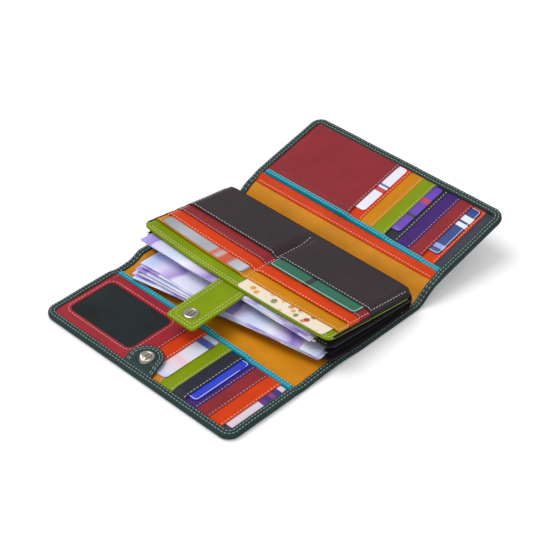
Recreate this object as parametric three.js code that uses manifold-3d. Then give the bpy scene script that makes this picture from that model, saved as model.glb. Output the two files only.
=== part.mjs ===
// Large trifold purse of coloured leather, opened flat: a stitched cover in three panels joined by two soft
// spines, card pockets on both side panels, and a gusseted note organizer with card pockets on the centre.
// Millimetres. +X runs along the spines, +Y from the left panel to the right panel, +Z up from the table.
import * as THREE from 'three';
import { mergeVertices } from 'three/addons/utils/BufferGeometryUtils.js';
import Module from 'manifold-3d';

const wasm = await Module();
wasm.setup();

// Bank card in the common size, which the pockets and through them the whole purse are cut to
const CARD_LENGTH = 85.6;
const CARD_WIDTH = 54;
const CARD_THICKNESS = 0.76;
const CARD_RADIUS = 3.2;
const CARD_PLAY = 0.5;

// Clearances between pieces that lie on each other, and across a soft joint
const CONTACT = 0.1;
const JOINT_GAP = 0.3;

// Columns of the organizer's leaves, and from them the width of the purse along its spines
const COLUMN_PLAY = 3.3;
const LEAF_SEAM = 1.5;
const LEAF_MARGIN = 1.8;
const COLUMN_WIDTH = CARD_LENGTH + 2 * COLUMN_PLAY;
const LEAF_WIDTH = 2 * COLUMN_WIDTH + 6 * LEAF_SEAM;
const COVER_WIDTH = LEAF_WIDTH + 2 * LEAF_MARGIN;

// Cover: its turned edge and thicknesses
const RIM_WIDTH = 6.5;
const RIM_HEIGHT = 5.2;
const CENTRE_RIM_HEIGHT = 3.2;
const CORNER_RADIUS = 10;
const COVER_LEATHER = 1.0;
const LINING_TOP = 2.2;
const EDGE_ROUNDING = 0.6;
const HALF_COVER = COVER_WIDTH / 2;
const HALF_INNER = HALF_COVER - RIM_WIDTH;

// Side panels: pocket block, its binding, and the reach of the cover past it
const LEFT_CARD_OFFSET = 5;
const RIGHT_CARD_OFFSET = 9;
const POCKET_DEPTH = CARD_WIDTH + LEFT_CARD_OFFSET + 1;
const RIGHT_POCKET_DEPTH = CARD_WIDTH + RIGHT_CARD_OFFSET + 1.5;
const BINDING_WIDTH = 4.5;
const PANEL_TAIL = 1.5;
const FACING_WIDTH = 8.5;
const POCKET_FLOOR = 1.5;

// Stepped pocket strips of a side panel, between the large panel and the bare lining at the far end
const STRIP_THICKNESS = 0.5;
const STRIP_STEP = 0.2;
const STRIP_COUNT = 7;
const PANEL_PLAY = 4.1;
const BARE_LINING = 8.2;
const PANEL_MOUTH = CARD_LENGTH + PANEL_PLAY - HALF_INNER;
const STRIP_PITCH = (HALF_INNER - BARE_LINING - PANEL_MOUTH) / STRIP_COUNT;

// Window of the left panel
const WINDOW_MARGIN = 7.5;
const WINDOW_LENGTH = CARD_LENGTH - 18.6;
const WINDOW_WIDTH = POCKET_DEPTH - 17;
const WINDOW_RADIUS = 5;
const WINDOW_FILM = 0.3;

// Lengths along Y of the spines and the centre panel
const LEFT_SPINE = 26;
const CENTRE_LENGTH = 98;
const RIGHT_SPINE = 23;
const LEFT_SPINE_HUMP = 3;
const RIGHT_TILT = 13.5;
const RIGHT_RISE = 11.8;
const SPINE_REACH = 0.42;
const LEFT_END = POCKET_DEPTH + BINDING_WIDTH + PANEL_TAIL;
const CENTRE_START = LEFT_END + LEFT_SPINE;
const CENTRE_END = CENTRE_START + CENTRE_LENGTH;
const RIGHT_START = CENTRE_END + RIGHT_SPINE;
const RIGHT_POCKET_START = FACING_WIDTH + BINDING_WIDTH;
const RIGHT_LENGTH = RIGHT_POCKET_START + RIGHT_POCKET_DEPTH + RIM_WIDTH;

// Top leaf of the organizer: pockets for cards in two columns. Mouths are counted from the free edge.
const FOLD_SETBACK = 12;
const FOLD_LEATHER = 1.2;
const LEAF_FOLD = CENTRE_END - FOLD_SETBACK;
const LEAF_LENGTH = 84.5;
const LEAF_TAIL = 6;
const LEAF_THICKNESS = 1.5;
const LEAF_TILT = 6.93;
const LEAF_HEIGHT = 16.8;
const LEAF_RADIUS = 6;
const LEAF_PANEL = 0.6;
const LEAF_BARE = 12.5;
const LEAF_PITCH = 11.3;
const CARD_SPACE = CARD_THICKNESS + 2 * CONTACT;

// Lower leaves of the organizer and the gussets between them
const DIVIDER_LENGTH = LEAF_LENGTH - 2.5;
const DIVIDER_THICKNESS = 1.4;
const DIVIDER_TILT = 4.2;
const DIVIDER_HEIGHT = 12.5;
const BACK_LEAF_THICKNESS = 1.4;
const BACK_LEAF_LIFT = 3;
const BACK_LEAF_FREE = 20;
const GUSSET_DEPTH = 5;
const GUSSET_LEATHER = 0.8;
const GUSSET_SETBACK = 2;

// Banknote stacks: places are counted from the free edge of the divider
const NOTE_LENGTH = LEAF_WIDTH - 28.4;
const NOTE_DEPTH = 78;
const NOTE_STEP = 0.9;
const LOWER_NOTES_X = 6;
const LOWER_NOTES_OUT = 18;
const LOWER_NOTES_LIFT = 4.4;
const LOWER_NOTES_TILT = 2.65;
const LOWER_NOTES_TURN = 9.1;
const UPPER_NOTES_X = -1.5;
const UPPER_NOTES_OUT = 4;
const UPPER_NOTES_TURN = 3;

// Strap and snap fasteners
const SNAP_RADIUS = 5.8;
const SNAP_STEM = 2;
const SNAP_HEIGHT = 1.2;
const STUD_RADIUS = 3.6;
const STUD_HEIGHT = 2;
const STRAP_WIDTH = 28;
const STRAP_LENGTH = 56;
const STRAP_THICKNESS = 2;
const STRAP_CORNER = 3;
const STRAP_TILT = 4;
const STRAP_TUCK = 2.5;
const STRAP_DROP = 2.6;
const STRAP_HINGE_OUT = 0.6;
const STRAP_HINGE_RISE = 2;
const STRAP_SNAP_FROM_ROOT = 41;
const STRAP_STUD_INSET = 11;
const STRAP_STUD_HEIGHT = 1.7;
const RIGHT_STUD_INSET = 45.8;
const TAB_WIDTH = 29;
const TAB_LENGTH = 21;
const TAB_THICKNESS = 1.3;
const TAB_SNAP_INSET = 8.8;

const radians = (degrees) => (degrees * Math.PI) / 180;

// Materials by the colour of the leather
const leather = (hex) => new THREE.MeshStandardMaterial({ color: hex, roughness: 0.6 });
const plastic = (hex) => new THREE.MeshStandardMaterial({ color: hex, roughness: 0.35 });
const metal = (hex) => new THREE.MeshStandardMaterial({ color: hex, roughness: 0.25, metalness: 1 });
const BOTTLE_GREEN = '#2c3f40';
const BURGUNDY = '#8d2f33';
const RED = '#a52d36';
const ORANGE = '#d8431b';
const OCHRE = '#d28c1c';
const LIME = '#7f9400';
const CHARCOAL = '#33323f';
const PURPLE = '#4a2a7a';
const TEAL = '#0f8f9c';
const PLUM = '#3a3036';
const NAVY = '#2a2f45';
const GUSSET_BLACK = '#1c1a1d';
const NICKEL = '#cfcac4';
const NOTE_COLOUR = '#dcdcf2';

// Solids from geometries, joined and cut as manifolds
function toSolid(geometry) {
  const bare = geometry.index ? geometry.toNonIndexed() : geometry.clone();
  bare.deleteAttribute('normal');
  bare.deleteAttribute('uv');
  const merged = mergeVertices(bare, 1e-4);
  const vertProperties = new Float32Array(merged.attributes.position.array);
  const triVerts = new Uint32Array(merged.index.array);
  return new wasm.Manifold(new wasm.Mesh({ numProp: 3, vertProperties, triVerts }));
}

function toGeometry(solid) {
  const mesh = solid.getMesh();
  const geometry = new THREE.BufferGeometry();
  geometry.setAttribute('position', new THREE.BufferAttribute(new Float32Array(mesh.vertProperties), 3));
  geometry.setIndex(new THREE.BufferAttribute(new Uint32Array(mesh.triVerts), 1));
  geometry.computeVertexNormals();
  return geometry;
}

function block(x0, x1, y0, y1, z0, z1) {
  const box = new THREE.BoxGeometry(x1 - x0, y1 - y0, z1 - z0);
  box.translate((x0 + x1) / 2, (y0 + y1) / 2, (z0 + z1) / 2);
  return box;
}

// Rectangle in the XY plane with a radius for each corner: low-left, low-right, high-right, high-left
function roundedRectangle(x0, x1, y0, y1, radii) {
  const [a, b, c, d] = radii;
  const shape = new THREE.Shape();
  shape.moveTo(x0 + a, y0);
  shape.lineTo(x1 - b, y0);
  if (b) shape.absarc(x1 - b, y0 + b, b, -Math.PI / 2, 0);
  shape.lineTo(x1, y1 - c);
  if (c) shape.absarc(x1 - c, y1 - c, c, 0, Math.PI / 2);
  shape.lineTo(x0 + d, y1);
  if (d) shape.absarc(x0 + d, y1 - d, d, Math.PI / 2, Math.PI);
  shape.lineTo(x0, y0 + a);
  if (a) shape.absarc(x0 + a, y0 + a, a, Math.PI, 1.5 * Math.PI);
  return shape;
}

function plate(shape, z0, z1, curveSegments = 5) {
  const geometry = new THREE.ExtrudeGeometry(shape, { depth: z1 - z0, bevelEnabled: false, curveSegments });
  geometry.translate(0, 0, z0);
  return geometry;
}

// Profile drawn as (y, z) points and run along X from x0 to x1
function runAlongX(points, x0, x1) {
  const shape = new THREE.Shape(points.map(([y, z]) => new THREE.Vector2(y, z)));
  const geometry = new THREE.ExtrudeGeometry(shape, { depth: x1 - x0, bevelEnabled: false });
  geometry.applyMatrix4(new THREE.Matrix4().makeBasis(
    new THREE.Vector3(0, 1, 0), new THREE.Vector3(0, 0, 1), new THREE.Vector3(1, 0, 0)));
  geometry.translate(x0, 0, 0);
  return geometry;
}

// Profile drawn as (x, z) points and run along Y from y0 to y1
function runAlongY(points, y0, y1) {
  const shape = new THREE.Shape(points.map(([x, z]) => new THREE.Vector2(x, z)));
  const geometry = new THREE.ExtrudeGeometry(shape, { depth: y1 - y0, bevelEnabled: false });
  geometry.rotateX(Math.PI / 2);
  geometry.translate(0, y1, 0);
  return geometry;
}

function part(name, geometry, material) {
  const mesh = new THREE.Mesh(geometry, material);
  mesh.name = name;
  return mesh;
}

// Cover panel with its leather turned over at the edges: a base sheet and a raised hem on the closed sides
function hemmedCover(y0, y1, outerSide, hemHeight) {
  const low = outerSide === 'low' ? CORNER_RADIUS : 0;
  const high = outerSide === 'high' ? CORNER_RADIUS : 0;
  const hem = roundedRectangle(-HALF_COVER, HALF_COVER, y0, y1, [low, low, high, high]);
  const rounding = Math.min(EDGE_ROUNDING, hemHeight / 4);
  const body = new THREE.ExtrudeGeometry(hem, {
    depth: hemHeight - 2 * rounding,
    bevelEnabled: true,
    bevelThickness: rounding,
    bevelSize: rounding,
    bevelOffset: -rounding,
    bevelSegments: 2,
    curveSegments: 6,
  });
  body.translate(0, 0, rounding);
  const wellStart = outerSide === 'low' ? y0 + RIM_WIDTH : y0 - RIM_WIDTH;
  const wellEnd = outerSide === 'high' ? y1 - RIM_WIDTH : y1 + RIM_WIDTH;
  const well = block(-HALF_INNER, HALF_INNER, wellStart, wellEnd, COVER_LEATHER, hemHeight + RIM_WIDTH);
  return toGeometry(toSolid(body).subtract(toSolid(well)));
}

function sidePanelCover(name, y0, y1, outerSide) {
  return part(name, hemmedCover(y0, y1, outerSide, RIM_HEIGHT), leather(BOTTLE_GREEN));
}

// Card with rounded corners; x0 and y0 are its low edges
function card(name, x0, y0, z0, colour) {
  const outline = roundedRectangle(x0, x0 + CARD_LENGTH, y0, y0 + CARD_WIDTH, Array(4).fill(CARD_RADIUS));
  return part(name, plate(outline, z0, z0 + CARD_THICKNESS, 3), plastic(colour));
}

// Heights of the stepped strips, from the bare lining at the open end up to the large panel
function stripLevels(cardBelow) {
  const levels = [];
  let top = POCKET_FLOOR;
  for (let k = STRIP_COUNT; k >= 0; k -= 1) {
    const onCard = cardBelow.includes(k);
    const first = k === STRIP_COUNT;
    let bottom = top + STRIP_STEP - STRIP_THICKNESS;
    if (onCard) bottom = top + CARD_SPACE;
    else if (first) bottom = top + CONTACT;
    levels[k] = { bottom, top: bottom + STRIP_THICKNESS, cardZ: top + CONTACT };
    top = levels[k].top;
  }
  return levels;
}

const mouthOf = (k) => PANEL_MOUTH + k * STRIP_PITCH;

// Strip of folded leather with a rounded mouth edge
function pocketStrip(x0, x1, y0, y1, bottom, top) {
  const r = (top - bottom) / 2;
  const points = [[x0, bottom], [x1 - r, bottom], [x1, bottom + r], [x1 - r, top], [x0, top]];
  return runAlongY(points, y0, y1);
}

// Outlines of the pocket block, rounded at the outer corners of the left or of the right panel
const INNER_RADIUS = CORNER_RADIUS - RIM_WIDTH;
const pocketEdge = HALF_INNER - CONTACT;
const leftOutline = (y0, y1, x1 = pocketEdge, r = INNER_RADIUS) => (
  roundedRectangle(-pocketEdge, x1, y0, y1, [INNER_RADIUS, r, 0, 0]));
const rightOutline = (y0, y1, x1 = pocketEdge, r = INNER_RADIUS) => (
  roundedRectangle(-pocketEdge, x1, y0, y1, [0, 0, r, INNER_RADIUS]));

// Card pockets of a side panel. The block runs from y0 to y0 + depth, and the cards show past their mouths.
function pocketBlock(prefix, y0, depth, cardOffset, outline, stripColours, cards) {
  const group = new THREE.Group();
  const y1 = y0 + depth;
  const near = y0 + CONTACT;
  const far = y1 - CONTACT;
  const low = -HALF_INNER + CONTACT;
  const high = HALF_INNER - CONTACT;
  const levels = stripLevels(cards.map((c) => c.under));
  let bed = toSolid(block(low, high, near, far, COVER_LEATHER + CONTACT, POCKET_FLOOR));
  for (let k = 0; k <= STRIP_COUNT; k += 1) {
    const x0 = k === 0 ? low + CONTACT / 2 : mouthOf(k - 1);
    const top = levels[k].bottom - CONTACT;
    const step = block(x0 - CONTACT / 2, mouthOf(k), near, far, COVER_LEATHER + 2 * CONTACT, top);
    if (top > POCKET_FLOOR + CONTACT) bed = bed.add(toSolid(step));
  }
  for (const c of cards) {
    const z = levels[c.under].cardZ;
    const x1 = mouthOf(c.under) + c.shows;
    const y = y0 + cardOffset;
    bed = bed.subtract(toSolid(block(x1 - CARD_LENGTH - CARD_PLAY, x1 + STRIP_PITCH, y - CARD_PLAY,
      y + CARD_WIDTH + CARD_PLAY, z - CONTACT / 2, z + CARD_THICKNESS + CONTACT / 2)));
    group.add(card(c.name, x1 - CARD_LENGTH, y, z, c.colour));
  }
  bed = bed.intersect(toSolid(plate(outline(near, far), 0, depth, 4)));
  group.add(part(`${prefix}_pocket_bed`, toGeometry(bed), leather(NAVY)));
  stripColours.forEach((colour, i) => {
    const k = i + 1;
    const geometry = pocketStrip(mouthOf(k - 1) + CONTACT, mouthOf(k), near, far, levels[k].bottom, levels[k].top);
    group.add(part(`${prefix}_strip_${k}`, geometry, leather(colour)));
  });
  group.userData = { levels, low, near, far };
  return group;
}

// Tape folded over the inner edge of a pocket block, sloping down with the strips
function edgeBinding(name, y0, levels) {
  const high = HALF_INNER - CONTACT;
  const base = COVER_LEATHER + CONTACT;
  const points = [[-high, base], [high, base], [high, levels[STRIP_COUNT].top + CONTACT],
    [-high, levels[0].top + CONTACT]];
  return part(name, runAlongY(points, y0 + CONTACT, y0 + BINDING_WIDTH), leather(TEAL));
}

// Press fastener head through a sheet that lies on z = 0: two flanges and a stem, with a hollow in the face
function snapHead(sheet) {
  const foot = SNAP_RADIUS * 0.75;
  const face = sheet + SNAP_HEIGHT;
  const hollow = face - SNAP_HEIGHT * 0.6;
  const profile = [
    [0, -SNAP_HEIGHT], [foot, -SNAP_HEIGHT], [foot, -CONTACT], [SNAP_STEM, -CONTACT], [SNAP_STEM, sheet + CONTACT],
    [SNAP_RADIUS, sheet + CONTACT], [SNAP_RADIUS, face - SNAP_HEIGHT * 0.4], [SNAP_RADIUS * 0.8, face],
    [SNAP_RADIUS * 0.4, face], [SNAP_RADIUS * 0.35, hollow], [0, hollow],
  ];
  return turned(profile, 24);
}

// Press fastener stud hanging under z = 0: a broad foot and a ball-ended neck
function snapStud(height) {
  const profile = [
    [0, -height], [STUD_RADIUS * 0.55, -height], [STUD_RADIUS * 0.7, -height * 0.75],
    [STUD_RADIUS * 0.55, -height * 0.4], [STUD_RADIUS, -height * 0.3], [STUD_RADIUS, 0], [0, 0],
  ];
  return turned(profile, 20);
}

// Closed profile of (radius, z) points turned about the Z axis
function turned(profile, segments) {
  const geometry = new THREE.LatheGeometry(profile.map(([r, z]) => new THREE.Vector2(r, z)), segments);
  geometry.rotateX(Math.PI / 2);
  return geometry;
}

function drilled(geometry, x, y, z0, z1, radius) {
  const drill = new THREE.CylinderGeometry(radius, radius, z1 - z0, 20);
  drill.rotateX(Math.PI / 2);
  drill.translate(x, y, (z0 + z1) / 2);
  return toGeometry(toSolid(geometry).subtract(toSolid(drill)));
}

// Half-round snap tab sewn over the edge of the left panel's pockets
function snapTab(z0) {
  const shape = new THREE.Shape();
  const half = TAB_WIDTH / 2;
  shape.moveTo(-half, 0);
  shape.lineTo(half, 0);
  shape.bezierCurveTo(half, TAB_LENGTH * 0.7, half * 0.5, TAB_LENGTH, 0, TAB_LENGTH);
  shape.bezierCurveTo(-half * 0.5, TAB_LENGTH, -half, TAB_LENGTH * 0.7, -half, 0);
  return plate(shape, z0, z0 + TAB_THICKNESS, 8);
}

function leftPanel() {
  const group = new THREE.Group();
  group.add(sidePanelCover('left_cover', -RIM_WIDTH, LEFT_END, 'low'));
  const pockets = pocketBlock('left', 0, POCKET_DEPTH, LEFT_CARD_OFFSET, leftOutline,
    [ORANGE, OCHRE, LIME, CHARCOAL, PURPLE, BURGUNDY, ORANGE], [
    { name: 'left_card_white', under: 1, shows: 12.9, colour: '#e4e0ee' },
    { name: 'left_card_blue', under: 4, shows: 7.5, colour: '#0a38c8' },
    { name: 'left_card_pink', under: 7, shows: BARE_LINING - CARD_PLAY, colour: '#e6d5de' },
  ]);
  group.add(pockets);
  const { levels, near, far } = pockets.userData;
  const panel = leftOutline(near, far, mouthOf(0), 0);
  const wx = -HALF_INNER + WINDOW_MARGIN;
  const wy = WINDOW_MARGIN;
  const window = roundedRectangle(wx, wx + WINDOW_LENGTH, wy, wy + WINDOW_WIDTH, Array(4).fill(WINDOW_RADIUS));
  panel.holes.push(new THREE.Path(window.getPoints(4)));
  group.add(part('left_window_panel', plate(panel, levels[0].bottom, levels[0].top, 4), leather(RED)));
  const film = roundedRectangle(wx + CONTACT, wx + WINDOW_LENGTH - CONTACT, wy + CONTACT,
    wy + WINDOW_WIDTH - CONTACT, Array(4).fill(WINDOW_RADIUS));
  group.add(part('left_window_film', plate(film, levels[0].bottom, levels[0].bottom + WINDOW_FILM, 4),
    plastic('#1c2427')));
  group.add(edgeBinding('left_binding', POCKET_DEPTH, levels));
  const tabZ = levels[0].top + SNAP_HEIGHT + 2 * CONTACT;
  const tab = drilled(snapTab(tabZ), 0, TAB_SNAP_INSET, tabZ - 1, tabZ + TAB_THICKNESS + 1, SNAP_STEM + CONTACT);
  group.add(part('left_snap_tab', tab, leather(BOTTLE_GREEN)));
  const snap = snapHead(TAB_THICKNESS);
  snap.translate(0, TAB_SNAP_INSET, tabZ);
  group.add(part('left_snap', snap, metal(NICKEL)));
  return group;
}

function rightPanel() {
  const group = new THREE.Group();
  group.add(sidePanelCover('right_cover', 0, RIGHT_LENGTH, 'high'));
  const pockets = pocketBlock('right', RIGHT_POCKET_START, RIGHT_POCKET_DEPTH, RIGHT_CARD_OFFSET, rightOutline,
    [ORANGE, OCHRE, LIME, CHARCOAL, PURPLE, BURGUNDY, ORANGE], [
      { name: 'right_card_white', under: 0, shows: 8.8, colour: '#e4e0ee' },
      { name: 'right_card_purple', under: 3, shows: 8, colour: '#5a2fb0' },
      { name: 'right_card_blue', under: 6, shows: 9.5, colour: '#143a86' },
    ]);
  group.add(pockets);
  const { levels, near, far } = pockets.userData;
  const panel = rightOutline(near, far, mouthOf(0), 0);
  group.add(part('right_panel', plate(panel, levels[0].bottom, levels[0].top, 4), leather(BURGUNDY)));
  group.add(edgeBinding('right_binding', FACING_WIDTH, levels));
  group.add(part('right_facing', facingStrip(levels), leather(ORANGE)));
  const stud = snapStud(STUD_HEIGHT);
  stud.translate(0, RIGHT_STUD_INSET, -CONTACT);
  group.add(part('right_stud', stud, metal(NICKEL)));
  group.position.set(0, RIGHT_START, RIGHT_RISE);
  group.rotation.x = radians(RIGHT_TILT);
  return group;
}

// Stitched facing between the right spine and the pocket binding
function facingStrip(levels) {
  const high = HALF_INNER - CONTACT;
  const base = COVER_LEATHER + CONTACT;
  const points = [[-high, base], [high, base], [high, levels[STRIP_COUNT].top], [-high, levels[1].top]];
  return runAlongY(points, CONTACT, FACING_WIDTH - CONTACT);
}

// Centre of the cover with its low hems, and the lining that the organizer is sewn to
function centrePanel() {
  const group = new THREE.Group();
  const cover = hemmedCover(CENTRE_START + JOINT_GAP, CENTRE_END - JOINT_GAP, 'none', CENTRE_RIM_HEIGHT);
  group.add(part('centre_cover', cover, leather(BOTTLE_GREEN)));
  const lining = block(-HALF_INNER + CONTACT, HALF_INNER - CONTACT, CENTRE_START + JOINT_GAP,
    CENTRE_END - JOINT_GAP, COVER_LEATHER + CONTACT, LINING_TOP);
  group.add(part('centre_lining', lining, leather(OCHRE)));
  return group;
}

// Cross-section of a soft spine: points of its underside from one panel to the other, with unit normals
function samplePoint(y, z, dy, dz) {
  const length = Math.hypot(dy, dz);
  return { y, z, ny: -dz / length, nz: dy / length };
}

// Flat at both ends with a low rounded hump between them
function humpSamples(y0, y1, height, steps) {
  return Array.from({ length: steps + 1 }, (_, i) => {
    const t = i / steps;
    const rise = Math.PI * height * Math.sin(2 * Math.PI * t);
    return samplePoint(y0 + t * (y1 - y0), height * Math.sin(Math.PI * t) ** 2, y1 - y0, rise);
  });
}

function curveSamples(curve, steps) {
  return curve.getPoints(steps).map((point, i) => {
    const tangent = curve.getTangent(i / steps);
    return samplePoint(point.x, point.y, tangent.x, tangent.y);
  });
}

// Same cross-section with one more point past each end
function lengthened(samples) {
  const past = (p, sign) => ({ ...p, y: p.y + sign * p.nz, z: p.z - sign * p.ny });
  return [past(samples[0], -1), ...samples, past(samples[samples.length - 1], 1)];
}

function curvedSheet(samples, x0, x1, low, high) {
  const under = samples.map((p) => [p.y + p.ny * low, p.z + p.nz * low]);
  const over = samples.map((p) => [p.y + p.ny * high, p.z + p.nz * high]);
  return runAlongX([...under, ...over.reverse()], x0, x1);
}

// Leather of a spine with its two hems, and the lining between them
function spine(prefix, samples) {
  const group = new THREE.Group();
  const sheet = toSolid(curvedSheet(samples, -HALF_COVER, HALF_COVER, 0, CENTRE_RIM_HEIGHT));
  const well = toSolid(curvedSheet(lengthened(samples), -HALF_INNER, HALF_INNER, COVER_LEATHER,
    CENTRE_RIM_HEIGHT + COVER_LEATHER));
  group.add(part(`${prefix}_spine_cover`, toGeometry(sheet.subtract(well)), leather(BOTTLE_GREEN)));
  const lining = curvedSheet(samples, -HALF_INNER + CONTACT, HALF_INNER - CONTACT, COVER_LEATHER + CONTACT,
    LINING_TOP);
  group.add(part(`${prefix}_spine_lining`, lining, leather(OCHRE)));
  return group;
}

function leftSpine() {
  return spine('left', humpSamples(LEFT_END + JOINT_GAP, CENTRE_START, LEFT_SPINE_HUMP, 12));
}

function rightSpine() {
  const slope = Math.tan(radians(RIGHT_TILT));
  const reach = RIGHT_SPINE * SPINE_REACH;
  const start = new THREE.Vector2(CENTRE_END, 0);
  const end = new THREE.Vector2(RIGHT_START - JOINT_GAP, RIGHT_RISE - JOINT_GAP * slope);
  const curve = new THREE.CubicBezierCurve(start, new THREE.Vector2(start.x + reach, 0),
    new THREE.Vector2(end.x - reach, end.y - reach * slope), end);
  return spine('right', curveSamples(curve, 12));
}

// Outline of an organizer leaf in its own plane: y = 0 is the fold, the free edge lies at -length
function leafOutline(width, length, tail, radius) {
  return roundedRectangle(-width / 2, width / 2, -length, tail, [radius, radius, 0, 0]);
}

// Bottom leaf: flat where it is sewn down, lifting towards its free edge
function backLeaf() {
  const top = CENTRE_RIM_HEIGHT + CONTACT;
  const back = LEAF_FOLD + LEAF_TAIL;
  const free = LEAF_FOLD - DIVIDER_LENGTH;
  const bend = free + BACK_LEAF_FREE;
  const points = [[free, top + BACK_LEAF_LIFT], [bend, top], [back, top], [back, top + BACK_LEAF_THICKNESS],
    [bend, top + BACK_LEAF_THICKNESS], [free, top + BACK_LEAF_LIFT + BACK_LEAF_THICKNESS]];
  return part('organizer_back', runAlongX(points, -LEAF_WIDTH / 2, LEAF_WIDTH / 2), leather(PLUM));
}

// Leather that closes the organizer along its fold, curved from the bottom leaf up to the top leaf
function organizerFold() {
  const y = LEAF_FOLD + LEAF_TAIL + CONTACT;
  const z0 = CENTRE_RIM_HEIGHT + CONTACT;
  const z1 = LEAF_HEIGHT - LEAF_TAIL * Math.tan(radians(LEAF_TILT)) + LEAF_THICKNESS;
  const curve = new THREE.CubicBezierCurve(new THREE.Vector2(y + FOLD_LEATHER, z0),
    new THREE.Vector2(y + FOLD_LEATHER * 2.5, z0 + (z1 - z0) * 0.3),
    new THREE.Vector2(y + FOLD_LEATHER * 2.5, z0 + (z1 - z0) * 0.7), new THREE.Vector2(y + FOLD_LEATHER, z1));
  return part('organizer_fold', curvedSheet(curveSamples(curve, 8), -LEAF_WIDTH / 2, LEAF_WIDTH / 2, 0, FOLD_LEATHER),
    leather(PLUM));
}

// Folded side gusset between two leaves: an accordion sheet that grows from back to front with their gap,
// in height and in depth alike, so that each of its faces stays flat
function gusset(name, side, folds, y0, y1, floor, ceiling) {
  const count = folds * 2;
  const outer = Array.from({ length: count + 1 }, (_, i) => [i % 2 ? GUSSET_DEPTH : 0, i / count]);
  const inner = outer.map(([inset, t]) => [inset + GUSSET_LEATHER, t]).reverse();
  const geometry = runAlongY([...outer, ...inner].map(([inset, t]) => [-side * inset, t]), y0, y1);
  const position = geometry.attributes.position;
  const gap = (y) => ceiling(y) - floor(y) - 2 * CONTACT;
  for (let i = 0; i < position.count; i += 1) {
    const y = position.getY(i);
    position.setX(i, side * (LEAF_WIDTH / 2 - JOINT_GAP) + (position.getX(i) * gap(y)) / gap(y0));
    position.setZ(i, floor(y) + CONTACT + position.getZ(i) * gap(y));
  }
  return part(name, geometry, leather(GUSSET_BLACK));
}

// Stack of notes, each turned and moved a little from the one below; z = 0 is its underside
function noteStack(name, count, fan, drift) {
  let stack;
  for (let i = 0; i < count; i += 1) {
    const note = block(-NOTE_LENGTH / 2, NOTE_LENGTH / 2, 0, NOTE_DEPTH, i * NOTE_STEP,
      (i + 1) * NOTE_STEP + CONTACT / 2);
    note.rotateZ(radians(fan * (i - (count - 1) / 2)));
    note.translate(drift[0] * i, drift[1] * i, 0);
    const solid = toSolid(note);
    stack = stack ? stack.add(solid) : solid;
  }
  return part(name, toGeometry(stack), plastic(NOTE_COLOUR));
}

// Heights of the leaves' faces along Y, before the recentring of the whole purse
const leafFree = LEAF_FOLD - DIVIDER_LENGTH;
const backTop = CENTRE_RIM_HEIGHT + CONTACT + BACK_LEAF_THICKNESS;
const backSurface = (y) => (
  backTop + Math.max(0, (leafFree + BACK_LEAF_FREE - y) / BACK_LEAF_FREE) * BACK_LEAF_LIFT);
const dividerBase = (y) => DIVIDER_HEIGHT + (LEAF_FOLD - y) * Math.tan(radians(DIVIDER_TILT));
const dividerTop = (y) => dividerBase(y) + DIVIDER_THICKNESS / Math.cos(radians(DIVIDER_TILT));
const leafBase = (y) => LEAF_HEIGHT + (LEAF_FOLD - y) * Math.tan(radians(LEAF_TILT));

function organizer() {
  const group = new THREE.Group();
  group.add(backLeaf(), organizerFold(), dividerLeaf(), topLeaf());
  const y0 = leafFree + GUSSET_SETBACK;
  const y1 = LEAF_FOLD - GUSSET_SETBACK;
  for (const [word, side] of [['left', -1], ['right', 1]]) {
    group.add(gusset(`lower_gusset_${word}`, side, 2, y0, y1, backSurface, dividerBase));
    group.add(gusset(`upper_gusset_${word}`, side, 1, y0, y1, dividerTop, leafBase));
  }
  const lower = new THREE.Group();
  lower.add(noteStack('notes_lower', 5, 0.9, [0.6, -0.5]));
  lower.position.set(LOWER_NOTES_X, leafFree - LOWER_NOTES_OUT, backTop + LOWER_NOTES_LIFT);
  lower.rotation.set(radians(-LOWER_NOTES_TILT), 0, radians(LOWER_NOTES_TURN), 'XYZ');
  group.add(lower);
  const upper = new THREE.Group();
  upper.add(noteStack('notes_upper', 3, 0.8, [-0.6, -0.8]));
  const upperFront = leafFree - UPPER_NOTES_OUT;
  upper.position.set(UPPER_NOTES_X, upperFront, dividerTop(upperFront) + CONTACT);
  upper.rotation.set(radians(-DIVIDER_TILT), 0, radians(UPPER_NOTES_TURN), 'XYZ');
  group.add(upper);
  const stud = snapStud(STRAP_STUD_HEIGHT);
  const slope = Math.atan2(BACK_LEAF_LIFT, BACK_LEAF_FREE);
  stud.rotateX(-slope);
  stud.translate(0, leafFree + STRAP_STUD_INSET, backSurface(leafFree + STRAP_STUD_INSET)
    - (BACK_LEAF_THICKNESS + CONTACT));
  group.add(part('strap_stud', stud, metal(NICKEL)));
  return group;
}

function dividerLeaf() {
  const leaf = new THREE.Group();
  const outline = leafOutline(LEAF_WIDTH, DIVIDER_LENGTH, LEAF_TAIL, LEAF_RADIUS);
  leaf.add(part('divider_leaf', plate(outline, 0, DIVIDER_THICKNESS), leather(PLUM)));
  leaf.position.set(0, LEAF_FOLD, DIVIDER_HEIGHT);
  leaf.rotation.x = radians(-DIVIDER_TILT);
  return leaf;
}

// Pocket panel of the top leaf: a sheet whose underside has a card pocket in each column
function leafPanel(mouth, bottom, top, cardRoom) {
  const sheet = toSolid(plate(leafOutline(LEAF_WIDTH, mouth, LEAF_TAIL - CONTACT, EDGE_ROUNDING), bottom, top));
  if (!cardRoom) return toGeometry(sheet);
  const pockets = [-COLUMN_WIDTH - LEAF_SEAM, LEAF_SEAM].map((x0) => toSolid(block(x0, x0 + COLUMN_WIDTH,
    -mouth - LEAF_SEAM, LEAF_TAIL - 1, bottom - LEAF_SEAM, bottom + cardRoom)));
  return toGeometry(pockets.reduce((panel, pocket) => panel.subtract(pocket), sheet));
}

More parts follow.
